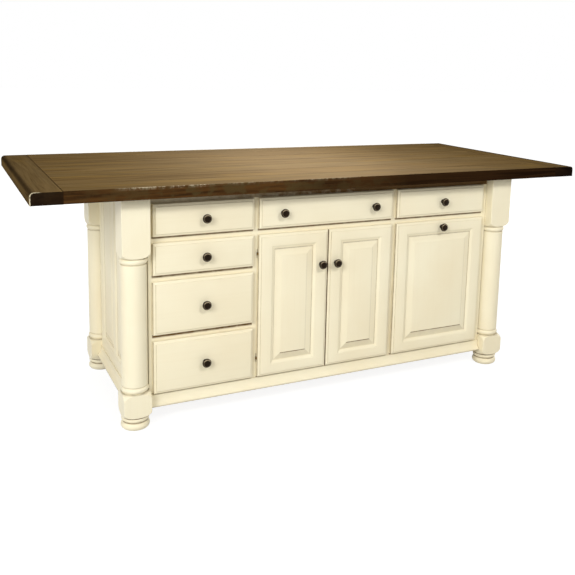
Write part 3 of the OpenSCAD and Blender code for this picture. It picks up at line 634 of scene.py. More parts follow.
def turned(name, profile, places, material, body, replaced,
        tilt=(0.0, 0.0, 0.0), faces=14, corners=6, degrees=32.0):
    """profile lists (radius, height, glaze, square); places lists points. Millimetres."""
    points = [(r * MM, 0, z * MM) for r, z, _, _ in profile]
    points += [tuple(v * MM for v in p) for p in places]
    mesh = bpy.data.meshes.new(name)
    mesh.from_pydata(points, [], [])
    tail = [0] * len(places)
    for mark, values in (
            ("glaze", [p[2] for p in profile] + tail), ("square", [p[3] for p in profile] + tail),
            ("place", [0] * len(profile) + [1] * len(places))):
        mesh.attributes.new(mark, "FLOAT", "POINT").data.foreach_set("value", values)
    lathe = linked(name, mesh)
    modifier = lathe.modifiers.new("turning", "NODES")
    modifier.node_group = TURNED
    for key, value in (
            ("Steps on each face", faces), ("Steps on each corner", corners),
            ("Half width of block", POST_HALF * MM), ("Tilt", tilt), ("Finish", material)):
        modifier[TURNED_INPUTS[key]] = value
    finished = made_real(lathe)
    finished.name = name
    sharpen(finished, degrees)
    return settle(lathe, body, replaced)


def arc(middle_r, middle_z, radius, start, end, steps):
    """Points of an arc in a profile. Angles in degrees from straight out, upwards."""
    angles = [radians(start + (end - start) * k / steps) for k in range(steps + 1)]
    return [(middle_r + radius * cos(a), middle_z + radius * sin(a), 0, 0) for a in angles]


def remarked(run, marks):
    """The run with other glaze values at the given places."""
    for place, glaze in marks.items():
        run[place] = (*run[place][:2], glaze, 0)
    return run


def block_run(foot, top, turned_top):
    """A square block whose lower end, and upper end if asked, is turned round."""
    corner = POST_HALF * sqrt(2)
    softest, widest = corner - 1.2, corner + 1
    swell = widest - POST_HALF
    r = (swell ** 2 + TURNED_END ** 2) / (2 * swell)
    run = []
    for k in range(13):
        up = TURNED_END * (k / 12) ** 1.3
        radius = widest - r + sqrt(r * r - (TURNED_END - up) ** 2)
        run.append((min(radius, softest), foot + up, (0.3, 0.1)[k] if k < 2 else 0, 1))
    if turned_top:
        return run + [(p[0], foot + top - p[1], p[2], 1) for p in reversed(run)]
    return run + [(softest, top, 0, 1)]


def post_profile():
    neck, shaft, bead, ring_h = POST_NECK, 47.5, 11, 22
    shaft_foot, shaft_top = LOWER_TOP + 26, UPPER_FOOT - 26
    run = [(0, FOOT_H, 0.5, 0), (POST_HALF - 1, FOOT_H, 0.8, 0)]
    run += block_run(FOOT_H, LOWER_TOP, True)
    run += [(POST_HALF - 2, LOWER_TOP, 0.1, 0), (neck, LOWER_TOP, 0.25, 0)]
    reach = in_degrees(acos((neck - POST_HALF + bead) / bead))
    for low, depth in ((LOWER_TOP + 2, 0.25), (UPPER_FOOT - 24, 0.4)):
        curve = arc(POST_HALF - bead, low + bead, bead, -reach, reach, 14)
        run += [(neck, low, depth, 0)]
        run += remarked(curve, {0: depth * 0.7, 1: depth * 0.15, -1: 0.25})
        run += [(neck, low + ring_h, 0.3, 0)]
        if low < shaft_foot:
            run += [(r, shaft_foot + up, glaze, 0) for r, up, glaze in (
                (neck, 0, 0.3), (46.6, 0, 0.2), (47.2, 0.4, 0.1), (shaft, 1.4, 0), (shaft, 5, 0))]
            run += [(r, shaft_top - down, glaze, 0) for r, down, glaze in (
                (shaft, 5, 0), (shaft, 1.4, 0), (47.2, 0.4, 0.1), (46.6, 0, 0.2), (neck, 0, 0.3))]
    run += [(neck, UPPER_FOOT, 0.5, 0), (POST_HALF - 2, UPPER_FOOT, 0.3, 0)]
    run += block_run(UPPER_FOOT, TOP_UNDER, False)
    return run + [(POST_HALF - 1, TOP_UNDER, 0.2, 0), (0, TOP_UNDER, 0.3, 0)]


def make_posts():
    profile = post_profile()
    for depth, y in (("front", POST_FRONT_Y), ("back", POST_BACK_Y)):
        for side, x in (("left", -POST_X), ("right", POST_X)):
            name = depth + "_" + side + "_post"
            turned("turned_" + name, profile, [(x, y, 0)], CREAM, "cabinet",
                   (name,), degrees=30)


def make_feet():
    run = [(0, 0, 0.4, 0), (36.5, 0, 0.4, 0)]
    run += remarked(arc(38, 15, 15, -88, 57, 18), {-1: 0.3})
    run += [(FOOT_NECK, 28.4, 0.6, 0), (FOOT_NECK, 32, 0.7, 0)]
    # the ring's top and the neck under the block are laid darkest: glazing in the crease, deepened as
    # painted shade under the block
    run += remarked(arc(43, 40, 8, -67, 67, 14), {0: 0.6, -3: 0.5, -2: 1, -1: 1.2})
    run += [(FOOT_NECK, 48, 1, 0), (FOOT_NECK, FOOT_H, 1, 0), (0, FOOT_H, 0.5, 0)]
    places = [(x, y, 0) for x in (-POST_X, POST_X) for y in (POST_FRONT_Y, POST_BACK_Y)]
    turned("turned_bun_feet", run, places, CREAM, "cabinet", ("bun_feet",))


def knob_profile():
    run = [(0, -14), (1.9, -14), (1.9, 0), (8.75, 0), (9.1, 0.5), (9, 1.5), (7.9, 2.5),
           (6.4, 3.6), (5.9, 5.4), (5.8, 8.6), (6.6, 11), (8.5, 12.8), (11.6, 14),
           (14.7, 15.6), (16.6, 17.8), (17.5, 20.8), (17.3, 23.3), (16.2, 25.6), (14.5, 27.1),
           (13.8, 27.5), (13.1, 27.3), (12.5, 27.6), (10.3, 28.6), (7.2, 29.4), (3.7, 29.9),
           (0, 30)]
    # the ridge of the upper rim is marked for a painted highlight, which bronze() lays where the surface
    # faces up
    rubbed_and_highlit = {12.5: 0.1, 13.1: 0.7, 13.8: 1, 14.5: 0.5}
    return [(r, z, rubbed_and_highlit.get(r, 0), 0) for r, z in run]


def make_knobs():
    profile = knob_profile()
    face = FRONT_BACK - FRONT_T
    rows = []
    for name, (x0, x1), (z0, z1), count in DRAWERS:
        xs = [(x0 + x1) / 2] if count == 1 else [x0 + KNOB_ASIDE, x1 - KNOB_ASIDE]
        rows.append((name, [(x, face, (z0 + z1) / 2) for x in xs]))
    rows.append(("pull_out", [(sum(BAYS[2]) / 2, face, TALL[1] - PULL_KNOB_DOWN)]))
    rows += [(name, [(knob_x, face, TALL[1] - DOOR_KNOB_DOWN)]) for name, _, knob_x, _ in DOORS]
    for name, places in rows:
        turned(name + "_bronze_knob", profile, places, BRONZE, name, (name + "_knob",),
               tilt=(pi / 2, 0.0, 0.0), faces=6, corners=6, degrees=40.0)


# ---- fronts and walls

# Each profile lists inset, height above the back, and glaze: glazing in the corners, with painted shade
# where shade falls, heaviest along the bottom and the left edge of each front, the top of each opening and
# the bottom of each raised field.
FRONT_PROFILE = (
    (0, 0, (0.9, 0.4, 0, 0)), (0, 2.4, (0.8, 0.3, 0, 0)),
    (0, 6, (0.6, 0.1, 0, 0.25)), (0, 11.6, (0.6, 0.1, 0, 0.75)),
    (0.3, 12.5, (0.45, 0.12, 0, 0.6)), (1, 13.1, (0.2, 0.15, 0, 0.25)),
    (2.6, 13.7, (0.05, 0.08, 0, 0)), (5.2, 14.6, (0, 0.08, 0, 0)),
    (7.9, 15.7, (0, 0.08, 0, 0.05)), (9.2, 16.3, (0.12, 0.15, 0.05, 0.2)),
    (9.9, 16.7, (0.25, 0.3, 0.12, 0.4)), (10, 17.6, (0.25, 0.3, 0.12, 0.4)),
    (10.15, 18.4, (0.15, 0.2, 0.08, 0.25)), (10.6, 18.85, 0.05), (11.4, 19, 0),
)
STICKING = (
    (13, 19, 0), (12.5, 18.85, 0.05), (12.1, 18.5, 0.1), (11, 17.9, 0.05), (8, 16.5, 0),
    (4, 14.7, 0), (1, 13.35, 0), (0.3, 13.05, 0.1), (0, 12.6, (0.1, 0.3, 0.6, 0.2)),
    (0, 11, (0.2, 0.6, 0.9, 0.4)), (0, 0, 0.4),
)
PLAIN_EDGE = ((0, 0, 0.3), (0, 18.2, 0.2), (0.25, 18.75, 0.1), (0.8, 19, 0))
PANEL_PROFILE = (
    (0, 0, 0.2), (0, 6, 0.4), (7.8, 6, (0.15, 0.6, 0.7, 0.45)),
    (8.6, 6, (0.1, 0.4, 0.7, 0.3)), (10, 6, (0.1, 0.1, 0.4, 0.1)),
    (11, 6.3, (0.12, 0.05, 0.2, 0.05)), (14, 7.1, (0.15, 0, 0.05, 0)),
    (32.8, 11.7, (0.2, 0, 0, 0)), (34.8, 12.2, (0.8, 0.06, 0, 0)),
    (36.9, 12.65, (1.2, 0.2, 0, 0)), (37, 12.9, (1, 0.2, 0, 0)),
    (37.3, 13.12, (0.5, 0.1, 0, 0)), (38.2, 13.25, 0),
)
PANEL_BACK, PANEL_HOLD = 4.75, 8


def reglazed(profile, change):
    """The same profile with the glaze that change(inset, up, side, glaze) gives."""
    return tuple((inset, up, tuple(change(inset, up, side, on_side(glaze, side)) for side in SIDES))
            for inset, up, glaze in profile)


def make_drawer_fronts():
    for name, (x0, x1), (z0, z1), _ in DRAWERS:
        blank = Blank()
        solid_board(blank, at(x0, FRONT_BACK, z0), x1 - x0, z1 - z0, FRONT_PROFILE)
        show(name + "_glazed_front", blank, CREAM, name, (name + "_front",), degrees=24)


def door_leaf(name, x0, x1, hinge_x=None, meets=None):
    """A framed front with its panel. meets is the side that another door closes against."""
    z0, z1 = TALL
    width, height = x1 - x0, z1 - z0
    # the edge that meets the other door is laid full brown: glazing on the edge and painted shade in the
    # gap between the doors
    outer = reglazed(FRONT_PROFILE, lambda inset, up, side, glaze:
            1 if side == meets and inset < 0.5 and up > 5 else glaze)
    blank = Blank()
    framed_mesh(blank, at(x0, FRONT_BACK, z0), width, height, outer, STICKING,
            ((DOOR_STILE, width - DOOR_STILE, DOOR_RAIL, height - DOOR_RAIL),))
    piece = show(name + "_glazed_frame", blank, CREAM, name, (name + "_frame",), degrees=24)
    if hinge_x is not None:
        cut_hinge_notches(piece, hinge_x)
    blank = Blank()
    aside, up = DOOR_STILE - PANEL_HOLD, DOOR_RAIL - PANEL_HOLD
    solid_board(blank, at(x0 + aside, FRONT_BACK - PANEL_BACK, z0 + up),
            width - 2 * aside, height - 2 * up, PANEL_PROFILE)
    show(name + "_raised_panel", blank, CREAM, name, (name + "_panel",), degrees=12)


def cut_hinge_notches(piece, hinge_x):
    """Round notches in a door's edge where the hinge knuckles turn."""
    blank = Blank()
    steps, radius, half_tall = 32, 4.4, 5.4
    angles = [2 * pi * k / steps for k in range(steps)]
    for z in HINGE_HEIGHTS:
        points = [(hinge_x + radius * cos(a), HINGE_Y + radius * sin(a), z + up)
                for up in (-half_tall, half_tall) for a in angles]
        faces = grid_faces(2, steps, closed=True)
        faces += [tuple(range(steps - 1, -1, -1)), tuple(range(steps, 2 * steps))]
        blank.add(points, faces)
    cutter = linked("notches", blank.mesh("notches"))
    modifier = piece.modifiers.new("notches", "BOOLEAN")
    modifier.operation = "DIFFERENCE"
    modifier.solver = "EXACT"
    modifier.object = cutter
    bpy.context.view_layer.update()
    cut = made_real(piece)
    bpy.data.objects.remove(cutter)
    sharpen(cut, 24)


def make_doors():
    for name, (x0, x1), _, hinge_x in DOORS:
        door_leaf(name, x0, x1, hinge_x, "right" if hinge_x < x0 else "left")
    door_leaf("pull_out", *BAYS[2])


def wall_openings(width, count):
    hole = (width - (count + 1) * WALL_STILE) / count
    lefts = [WALL_STILE + i * (WALL_STILE + hole) for i in range(count)]
    return [(x0, x0 + hole, WALL_FOOT_RAIL, WALL_H - WALL_TOP_RAIL) for x0 in lefts]


def make_walls():
    panel_profile = reglazed(PANEL_PROFILE, lambda inset, up, side, glaze: 0.35 * glaze)
    side_walls = ((at(-SIDE_FACE, SIDE_BACK, BASE_BOTTOM, -90), SIDE_SPAN, 2),
            (at(SIDE_FACE, SIDE_FRONT, BASE_BOTTOM, 90), SIDE_SPAN, 2))
    back_wall = ((at(FACE_END, BACK_FACE - FRAME_T, BASE_BOTTOM, 180), 2 * FACE_END, 4),)
    for part, walls, replaced in (("side", side_walls, "side_frames"), ("back", back_wall, "back_frame")):
        frames, panels = Blank(), Blank()
        for turn, width, count in walls:
            holes = wall_openings(width, count)
            framed_mesh(frames, turn, width, WALL_H, PLAIN_EDGE, STICKING, holes)
            for x0, x1, z0, z1 in holes:
                seat = Matrix.Translation((x0 - PANEL_HOLD, -PANEL_BACK, z0 - PANEL_HOLD))
                solid_board(panels, turn @ seat, x1 - x0 + 2 * PANEL_HOLD, z1 - z0 + 2 * PANEL_HOLD,
                        panel_profile)
        show(part + "_wall_frames", frames, CREAM, "cabinet", (replaced,), degrees=24)
        show(part + "_wall_panels", panels, CREAM, "cabinet", (part + "_panels",), degrees=12)


def ruled_box(blank, lines, glaze_and_shade_at, level):
    """A closed box whose faces are ruled at the given coordinates along X, Y and Z."""
    index, points, faces = {}, [], []

    def vertex(key):
        if key not in index:
            index[key] = len(points)
            points.append([line[k] for line, k in zip(lines, key)])
        return index[key]

    for axis in range(3):
        one, other = (axis + 1) % 3, (axis + 2) % 3
        last = len(lines[axis]) - 1
        for end, i, j in np.ndindex(2, len(lines[one]) - 1, len(lines[other]) - 1):
            loop = []
            for a, b in ((0, 0), (1, 0), (1, 1), (0, 1)):
                key = {axis: end * last, one: i + a, other: j + b}
                loop.append(vertex((key[0], key[1], key[2])))
            faces.append(loop if end else loop[:1] + loop[:0:-1])
    blank.add(points, faces, glaze=np.array([glaze_and_shade_at(*p) for p in points]), level=level)


def front_outlines():
    rows = [(*xs, *zs) for _, xs, zs, _ in DRAWERS]
    rows += [(*xs, *TALL) for _, xs, _, _ in DOORS]
    return rows + [(*BAYS[2], *TALL)]


def make_face_frame():
    outlines = front_outlines()

    def glaze_and_shade_at(x, y, z):
        """Glazing in the corners at the posts and under the top, and painted shade: a painted shadow under
        each front, deeper and taller under the lower fronts, a faint one to the right of each front, and a
        band of painted shadow on the top rail under the overhang, darker towards the right.
        """
        if y > FRAME_FACE + 0.5:
            return 0.3
        mark = 0.8 - abs(z - TOP_UNDER) / 1.1
        # painted shadow of the overhang on the top rail between the posts, darker towards the right
        if abs(x) < FACE_END and z > FRONTS_TOP:
            mark = min(1, (z - FRONTS_TOP) / 2) * min(1.2, 1 + x / 1200)
        if not LOWER_TOP < z < UPPER_FOOT:
            mark = max(mark, 0.8 - abs(abs(x) - FACE_END) / 1.6)
        for x0, x1, z0, z1 in outlines:
            left, right, below = max(x0 - x, 0), max(x - x1, 0), max(z0 - z, 0)
            beside = left + right
            # a painted shadow under each front, deeper and taller under the lower fronts
            if below and not beside:
                depth = (SHALLOW[0][0] - z0) / (SHALLOW[0][0] - TALL[0])
                mark = max(mark, 0.8 + 0.2 * depth - max(0, below - 7 - 7 * depth) / 4)
            # a faint painted shadow on the frame to the right of each front
            elif beside and x0 - 12 < x < x1 + 12 and z0 < z < z1:
                mark = max(mark, 0.2 - right / 40 if right else 0)
        return max(0, mark)

    def ruled(a, b, marks):
        """Lines from a to b, close together on both sides of each mark."""
        offsets = [side * d for d in (0, 0.8, 1.9, 4, 7, 10, 14, 17) for side in (-1, 1)]
        return sorted({a, b} | {m + d for m in marks for d in offsets if a < m + d < b})

    x_marks = {v for o in outlines for v in o[:2]} | {-FACE_END, FACE_END}
    z_marks = {v for o in outlines for v in o[2:]} | {TOP_UNDER, LOWER_TOP, UPPER_FOOT}
    ys = (FRAME_FACE, FRAME_FACE + FRAME_T)
    blank = Blank()
    left = [-FACE_END] + [x1 - OVERLAY for _, x1 in BAYS]
    right = [x0 + OVERLAY for x0, _ in BAYS] + [FACE_END]
    for x0, x1 in zip(left, right):
        lines = (ruled(x0, x1, x_marks), ys, ruled(BASE_BOTTOM, TOP_UNDER, z_marks))
        ruled_box(blank, lines, glaze_and_shade_at, 0)
    rails = ((SHALLOW[0][0], SHALLOW[1][0], DEEP[0][0]), (SHALLOW[0][0],), (SHALLOW[0][0],))
    for (x0, x1), heights in zip(BAYS, rails):
        spans = [(BASE_BOTTOM, FLOOR_TOP), (FRONTS_TOP - OVERLAY, TOP_UNDER)]
        spans += [(z - REVEAL - OVERLAY, z + OVERLAY) for z in heights]
        xs = ruled(x0 + OVERLAY + JOINT, x1 - OVERLAY - JOINT, x_marks)
        for z0, z1 in spans:
            ruled_box(blank, (xs, ys, ruled(z0, z1, z_marks)), glaze_and_shade_at, 1)
    show("glazed_face_frame", blank, CREAM, "cabinet", ("front_frame",))


def moulding_section():
    """Base moulding seen from its end: (how far it stands out, height, glaze)."""
    # the underside and lower edge of the nose are laid darker as painted shade
    run = [(0, 0, 0.4), (18.2, 0, 0.7), (18.8, 0.3, 0.65), (19, 1, 0.5), (19, 3, 0.25),
           (19, 6.8, 0), (18.7, 7.6, 0), (18.1, 8.2, 0)]
    middle_out, middle_up, radius = 34, 33.98, 30
    start = in_degrees(asin((middle_up - 8.6) / radius))
    for k in range(13):
        a = radians(start * (1 - k / 12))
        run.append((middle_out - radius * cos(a), middle_up - radius * sin(a), 0))
    return run + [(4, 42.8, 0), (3.7, 43.6, 0), (3, 44, 0), (0.3, 44, 0.1), (0, 44, 0.1)]


def make_base_mouldings():
    section = moulding_section()
    blank = Blank()
    side_out = SIDE_FACE + FRAME_T
    for turn, length in ((at(-FACE_END, FRAME_FACE, BASE_BOTTOM), 2 * FACE_END),
            (at(FACE_END, BACK_FACE, BASE_BOTTOM, 180), 2 * FACE_END),
            (at(-side_out, SIDE_BACK, BASE_BOTTOM, -90), SIDE_SPAN),
            (at(side_out, SIDE_FRONT, BASE_BOTTOM, 90), SIDE_SPAN)):
        points, glaze = [], []
        for x in (0, 1.5, 3, length - 3, length - 1.5, length):
            near = max(0, 1 - min(x, length - x) / 2.5)
            points += [turn @ Vector((x, -out, up)) for out, up, _ in section]
            glaze += [max(mark, near) for _, _, mark in section]
        blank.add(points, closed_faces(len(points) // len(section), len(section)),
                glaze=np.array(glaze), level=1)
    show("hollow_base_mouldings", blank, CREAM, "cabinet", ("base_mouldings",), degrees=24)


def closed_faces(rows, columns):
    """Quads round a bar that runs from station to station, and a face over each end."""
    faces = [(a, d, c, b) for a, b, c, d in grid_faces(rows, columns, closed=True)]
    faces.append(tuple(range(columns)))
    faces.append(tuple(range(rows * columns - 1, (rows - 1) * columns - 1, -1)))
    return faces


# ---- the top

def ripple(points, scale, seed):
    """Smooth noise from -1 to 1 at each point."""
    offset = Vector((seed * 13.7, seed * 5.1, seed * 9.3))
    return np.array([noise.noise(Vector(p) * scale + offset) for p in points])


def within(values, low, high, soft):
    """1 between low and high, falling to 0 over the soft distance inside them."""
    return np.clip((values - low) / soft, 0, 1) * np.clip((high - values) / soft, 0, 1)


def scraped(x, y, seed):
    """How far a scraper has sunk the upper face at each point."""
    flat = np.stack([x.ravel(), y.ravel()], 1)
    broad = ripple([(a * 0.35, b, 0) for a, b in flat], 0.02, seed + 3).reshape(x.shape)
    fine = ripple([(a * 0.2, b, 0) for a, b in flat], 0.07, seed + 8).reshape(x.shape)
    return 0.35 + 0.3 * broad + 0.12 * fine


def add_board(blank, x, y, z, marks, flipped, board):
    """Closes a board from its stations (rows) and its section (columns), with its marks."""
    faces = closed_faces(*x.shape)
    if flipped:
        faces = [face[::-1] for face in faces]
    points = np.stack([x, y, TOP_UNDER + z], -1).reshape(-1, 3)
    blank.add(points, faces, board=board, **{name: v.ravel() for name, v in marks.items()})


def plank(blank, y0, y1, front_worn, back_worn, seed, board):
    """A plank along X, scraped on top, and hewn and chipped along an open edge."""
    thick = TOP_UPPER - TOP_UNDER
    gaps = [0, 0.5, 1.4, 3]
    step = 2.5 if front_worn or back_worn else 12
    middle = np.linspace(6 - PLANK_END, PLANK_END - 6, int(2 * PLANK_END / step))
    stations = np.concatenate([np.array(gaps) - PLANK_END, middle, PLANK_END - np.array(gaps[::-1])])
    n = len(stations)
    columns = []

    def wander(scale, shift):
        return ripple([(s, shift, seed) for s in stations], scale, seed)

    def edge(worn_edge, y_edge, inward, upward):
        """The columns over one long edge, from below to above, or the other way."""
        run = []
        if worn_edge:
            chip = 1.7 + 0.8 * wander(0.012, 3) + 0.7 * wander(0.06, 9)
            bitten = within(stations, -190, 520, 60) if inward > 0 else 0.6
            bites = np.clip(2.4 * wander(0.12, 27) + 1.2 * wander(0.035, 61) - 0.35, 0, 1.5) * bitten
            chip = np.clip(chip + 4.2 * bites, 0.7, 9)
            drop = np.clip(0.9 + 0.25 * chip + 1.6 * bites, 0.6, 4.6)
            hew = [np.clip(0.45 + 0.5 * wander(0.02, 71 + k) + 0.35 * wander(0.08, 91 + k), 0, 1.6)
                   for k in range(5)]
            # the arris is painted pale, partly for wear and partly as a painted highlight, strongest on the
            # front edge towards the left
            rubbed_and_highlit = np.clip(0.55 + wander(0.05, 33) + 0.6 * wander(0.16, 44), 0, 1)
            bare_and_highlit = within(stations, -900, -540, 60) + 0.25 * within(stations, -560, 60, 90)
            rubbed_and_highlit = rubbed_and_highlit * (bare_and_highlit if inward > 0 else 0.5)
            # the bitten chips take the dark side colour: partly stain in the chips, partly painted shade on
            # facets that face forward out of the light
            dark = np.clip(bites, 0, 1)
            for out, z in ((1.8, 0), (0.5, 0.5), *zip(hew, (1.8, 9, 17, 25, 33))):
                run.append((y_edge + inward * out, z, 0, 1, 0))
            for a, mark in ((0, 0.2), (25, 0.8), (50, 1), (72, 0.9), (90, 0.5)):
                a = radians(a)
                run.append((y_edge + inward * (chip * (1 - cos(a)) + hew[4] * cos(a) * 0.6),
                        thick - drop * (1 - sin(a)), mark * rubbed_and_highlit,
                        1 if a < 0.9 else dark, 0))
            run.append((y_edge + inward * (chip + 1.2), thick, rubbed_and_highlit * 0.3, dark * 0.4, 0))
            run.append((y_edge + inward * (chip + 5), thick, 0, 0, 0))
        else:
            for out, z, joint in ((0.1, 0, 0.6), (0.1, thick - 1.3, 1), (0.4, thick - 0.6, 1),
                    (1, thick - 0.1, 0.6), (2.2, thick, 0)):
                run.append((y_edge + inward * out, z, 0, 0, joint))
        for values in run if upward else reversed(run):
            columns.append([v * np.ones(n) for v in values])

    edge(front_worn, y0, 1, True)
    low, high = y0 + (15 if front_worn else 8), y1 - (15 if back_worn else 8)
    for y in np.linspace(low, high, max(3, int((y1 - y0) / 14))):
        columns.append([v * np.ones(n) for v in (y, thick, 0, 0, 0)])
    edge(back_worn, y1, -1, False)
    y, z, worn, side, joint = np.array(columns).transpose(1, 2, 0)
    x = np.broadcast_to(stations[:, None], y.shape)
    z = np.where(z > thick - 0.02, z - scraped(x, y, seed), z)
    from_end = (PLANK_END - np.abs(stations))[:, None]
    z = np.minimum(z, thick - np.interp(from_end, gaps, (1.6, 0.8, 0.45, 0)))
    joint = np.maximum(joint, np.interp(from_end, gaps, (1, 1, 0.5, 0)) * np.ones_like(joint))
    add_board(blank, x, y, z, {"worn": worn, "side": side, "joint": joint}, False, board)


def cross_board(blank, end, seed, board):
    """The board across one end: rounded over outside, with the arris at its two end grains made pale,
    partly by rubbing and partly as a painted highlight, and with painted shade halfway round the roundover.
    """
    thick, inner = TOP_UPPER - TOP_UNDER, PLANK_END + 0.2
    knee_u, knee_z = TOP_END - END_ROUND, thick - END_ROUND
    upright, level = 0, 90
    # how far out, height, which way it faces, side grain (laid heaviest halfway round the roundover as
    # painted shade), joint, rubbed_and_highlit (pale from wear and from a painted highlight)
    rows = [(inner, 0, None, 1, 0.3, 0), (TOP_END - 1.2, 0, None, 1, 0, 0),
            (TOP_END - 0.3, 0.5, None, 1, 0, 0.4)]
    rows += [(TOP_END, z, upright, 0.2, 0, 1) for z in (1.8, 8, 15, 22, knee_z)]
    for a in range(10, 100, 10):
        turn = radians(a)
        rows.append((knee_u + END_ROUND * cos(turn), knee_z + END_ROUND * sin(turn), float(a),
                0.2 + 0.6 * sin(2 * turn), 0, 1))
    for u in np.linspace(knee_u - 4, inner + 5, 9):
        rows.append((u, thick, level, 0, 0, max(0, 1 - (knee_u - u) / 24)))
    rows += [(inner + 2.4, thick, level, 0, 0, 0), (inner + 1.1, thick - 0.1, level, 0, 0.6, 0),
            (inner + 0.4, thick - 0.6, level, 0, 1, 0), (inner, thick - 1.4, None, 0.5, 1, 0)]
    near = np.array([0, 0.25, 0.8, 1.6, 2.8, 4.2, 7, 12])
    middle = np.linspace(24 - TOP_BACK, TOP_BACK - 24, 80)
    stations = np.concatenate([near - TOP_BACK, middle, TOP_BACK - near[::-1]])
    shape = (len(stations), len(rows))
    from_end = np.broadcast_to((TOP_BACK - np.abs(stations))[:, None], shape)
    v = np.broadcast_to(stations[:, None], shape)
    u, z, side, joint, rubbed_and_highlit = (np.broadcast_to(np.array([r[k] for r in rows]), shape).copy()
            for k in (0, 1, 3, 4, 5))
    faces_out, faces_up = (
        np.array([wave(radians(r[2])) if r[2] is not None else 0 for r in rows]) for wave in (cos, sin))
    arris = TOP_CORNER * faces_out ** 2 + 1.6 * faces_up ** 2
    sunk = arris - np.sqrt(np.maximum(arris ** 2 - np.maximum(arris - from_end, 0) ** 2, 0))
    hewn = 0.4 + 0.4 * ripple([(a, b, 0) for a, b in zip(v.ravel(), z.ravel())], 0.03, seed).reshape(shape)
    u = u - faces_out * (sunk + hewn * faces_out ** 4)
    z = z - faces_up * (sunk + faces_up ** 8 * scraped(v, u, seed))
    worn = rubbed_and_highlit * np.interp(from_end, (0, 0.25, 0.8, 2.8, 4.2, 7), (0, 0.5, 1, 1, 0.5, 0))
    side = np.maximum(side, np.interp(from_end, (0, 0.25, 0.8), (1, 1, 0)))
    # the pale arris is laid in full on the left end and a third as strong on the right: partly wear, partly
    # a painted highlight
    marks = {"worn": worn * (1 if end < 0 else 0.35), "side": side, "joint": joint}
    add_board(blank, end * u, v, z, marks, end < 0, board)


def make_top():
    pitch = (TOP_BACK - TOP_FRONT) / PLANK_COUNT
    shades = (0.25, 0.8, 0.05, 0.6, 0.35, 0.95, 0.5)
    blank = Blank()
    for i, shade in enumerate(shades):
        y0 = TOP_FRONT + i * pitch
        plank(blank, y0, y0 + pitch, i == 0, i == PLANK_COUNT - 1, i + 1, shade)
    show("scraped_top_planks", blank, WALNUT_LONG, "cabinet", ("top_planks",),
         degrees=40)
    blank = Blank()
    for end, shade in ((-1, 0.1), (1, 0.4)):
        cross_board(blank, end, 11 + end, shade)
    show("scraped_cross_boards", blank, WALNUT_CROSS, "cabinet", ("breadboard_ends",),
         degrees=40)


# ---- everything

make_top()
make_posts()
make_feet()
make_face_frame()
make_walls()
make_base_mouldings()
make_drawer_fronts()
make_doors()
make_knobs()


def dress(node, material):
    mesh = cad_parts[node].data
    mesh.materials.clear()
    mesh.materials.append(material)


for inner_material, nodes in (
        (BIRCH_Y, ["cabinet_sides", "cupboard_shelf", "pull_out_tray"] + [d[0] + "_box" for d in DRAWERS]),
        (BIRCH_X, ["cabinet_floors", "top_stretchers"]),
        (ZINC, ["cabinet_slides", "shelf_pins", "pull_out_runners"] + [d[0] + "_runners" for d in DRAWERS]),
        (BIN_GREY, ["waste_bin"]),
        (BRASS, ["hinge_frame_leaves", "hinge_pins", "left_door_hinge_leaves", "right_door_hinge_leaves"])):
    for node in nodes:
        dress(node, inner_material)


# ---- floor, light and camera

def seen_directly(bench):
    """1 for rays from the camera, or by way of a mirror or glass."""
    path = bench.put("LightPath", out=None)
    camera, glossy, through = (Wire(bench, path.outputs[name]) for name in
            ("Is Camera Ray", "Is Glossy Ray", "Is Transmission Ray"))
    return bench.sum("MAXIMUM", camera, bench.sum("MAXIMUM", glossy, through))


def make_floor():
    """A matt floor that looks white but for a faint shadow, and fades out to the world."""
    reach = 30
    mesh = bpy.data.meshes.new("pale_floor")
    mesh.from_pydata([(-reach, -reach, 0), (reach, -reach, 0), (reach, reach, 0), (-reach, reach, 0)],
            [], [(0, 1, 2, 3)])
    material = bpy.data.materials.new("pale_floor")
    bench = cleared(material)
    away = bench.put("VectorMath", {0: bench.place()}, out="Value", operation="LENGTH")
    matt = bench.put("BsdfDiffuse", {"Color": (0.6, 0.6, 0.59, 1)})
    thin = bench.put("BsdfDiffuse", {"Color": (0.24, 0.24, 0.235, 1)})
    glow = bench.put("Emission", {"Strength": bench.spread(away, 1.3, 2.8, 0.88, 1)})
    pale = bench.put("AddShader", {0: thin, 1: glow})
    mixed = bench.put("MixShader", {0: seen_directly(bench), 1: matt, 2: pale})
    bench.put("OutputMaterial", {"Surface": mixed}, out=None)
    mesh.materials.append(material)
    linked("pale_floor", mesh)


def make_world():
    world = bpy.data.worlds.new("studio")
    bpy.context.scene.world = world
    bench = cleared(world)
    seen = seen_directly(bench)
    glow = bench.blend(seen, (1, 0.95, 0.86, 1), (1, 1, 1, 1))
    strength = bench.spread(seen, 0, 1, 0.23, 1)
    sky = bench.put("Background", {"Color": glow, "Strength": strength})
    bench.put("OutputWorld", {"Surface": sky}, out=None)


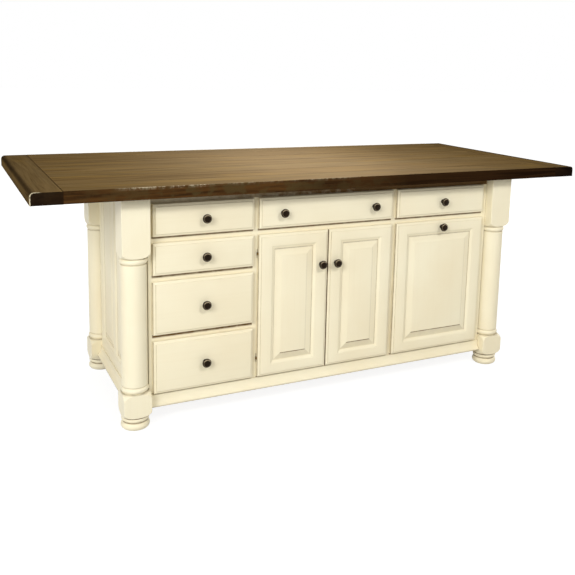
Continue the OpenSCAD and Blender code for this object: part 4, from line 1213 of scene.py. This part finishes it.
def add_lamp(name, place, aim, size, watts, length=None, turn=0):
    """A square or oblong lamp that looks from place to aim, turned about that line."""
    lamp = bpy.data.lights.new(name, "AREA")
    lamp.shape = "RECTANGLE"
    lamp.size = size
    lamp.size_y = length or size
    lamp.energy = watts
    holder = linked(name, lamp)
    holder.location = place
    holder.rotation_euler = (Vector(aim) - Vector(place)).to_track_quat("-Z", "Y").to_euler()
    holder.rotation_euler.rotate_axis("Z", radians(turn))


def make_camera():
    """The photograph's view: 769 pixels of focal length on a 575 pixel frame."""
    frame_px, focal_px, middle_x, middle_y = 575, 768.94, 313.24, 191.24
    yaw, pitch, roll = (radians(a) for a in (26.739, 9.489, 1.499))
    forward = Vector((sin(yaw) * cos(pitch), cos(yaw) * cos(pitch), -sin(pitch)))
    right = Vector((cos(yaw), -sin(yaw), 0))
    up = right.cross(forward)
    right, up = right * cos(roll) + up * sin(roll), up * cos(roll) - right * sin(roll)
    lens = bpy.data.cameras.new("photo_view")
    lens.sensor_fit = "HORIZONTAL"
    lens.sensor_width = 36
    lens.lens = 36 * focal_px / frame_px
    lens.shift_x = (frame_px / 2 - middle_x) / frame_px
    lens.shift_y = (middle_y - frame_px / 2) / frame_px
    lens.clip_start = 0.05
    camera = linked("photo_view", lens)
    turn = Matrix((right, up, -forward)).transposed()
    camera.matrix_world = Matrix.Translation((-1.4449, -3.0786, 1.3478)) @ turn.to_4x4()
    bpy.context.scene.camera = camera


make_floor()
make_world()
add_lamp("key", (-4.17, -3.93, 3.04), (0, -0.3, 0.5), 2.2, 168)
add_lamp("front", (0.5, -4.25, 3.7), (0, -0.4, 0.5), 0.7, 78)
add_lamp("left", (-5, -1.2, 1.2), (-0.5, -0.2, 0.5), 2.4, 42)
add_lamp("fill", (3, -3.2, 1.6), (0.3, -0.3, 0.5), 2.2, 14)
add_lamp("behind", (1.2, 4.6, 2.2), (0, 0.2, 0.5), 2.4, 75)
add_lamp("right", (5.2, 1.2, 1.6), (0.5, 0, 0.5), 2.4, 55)
add_lamp("overhead", (0, -0.05, 1.66), (0, -0.05, 0.9), 0.3, 16.5, 1.4, -16)
make_camera()

bpy.context.scene.view_settings.view_transform = "Standard"
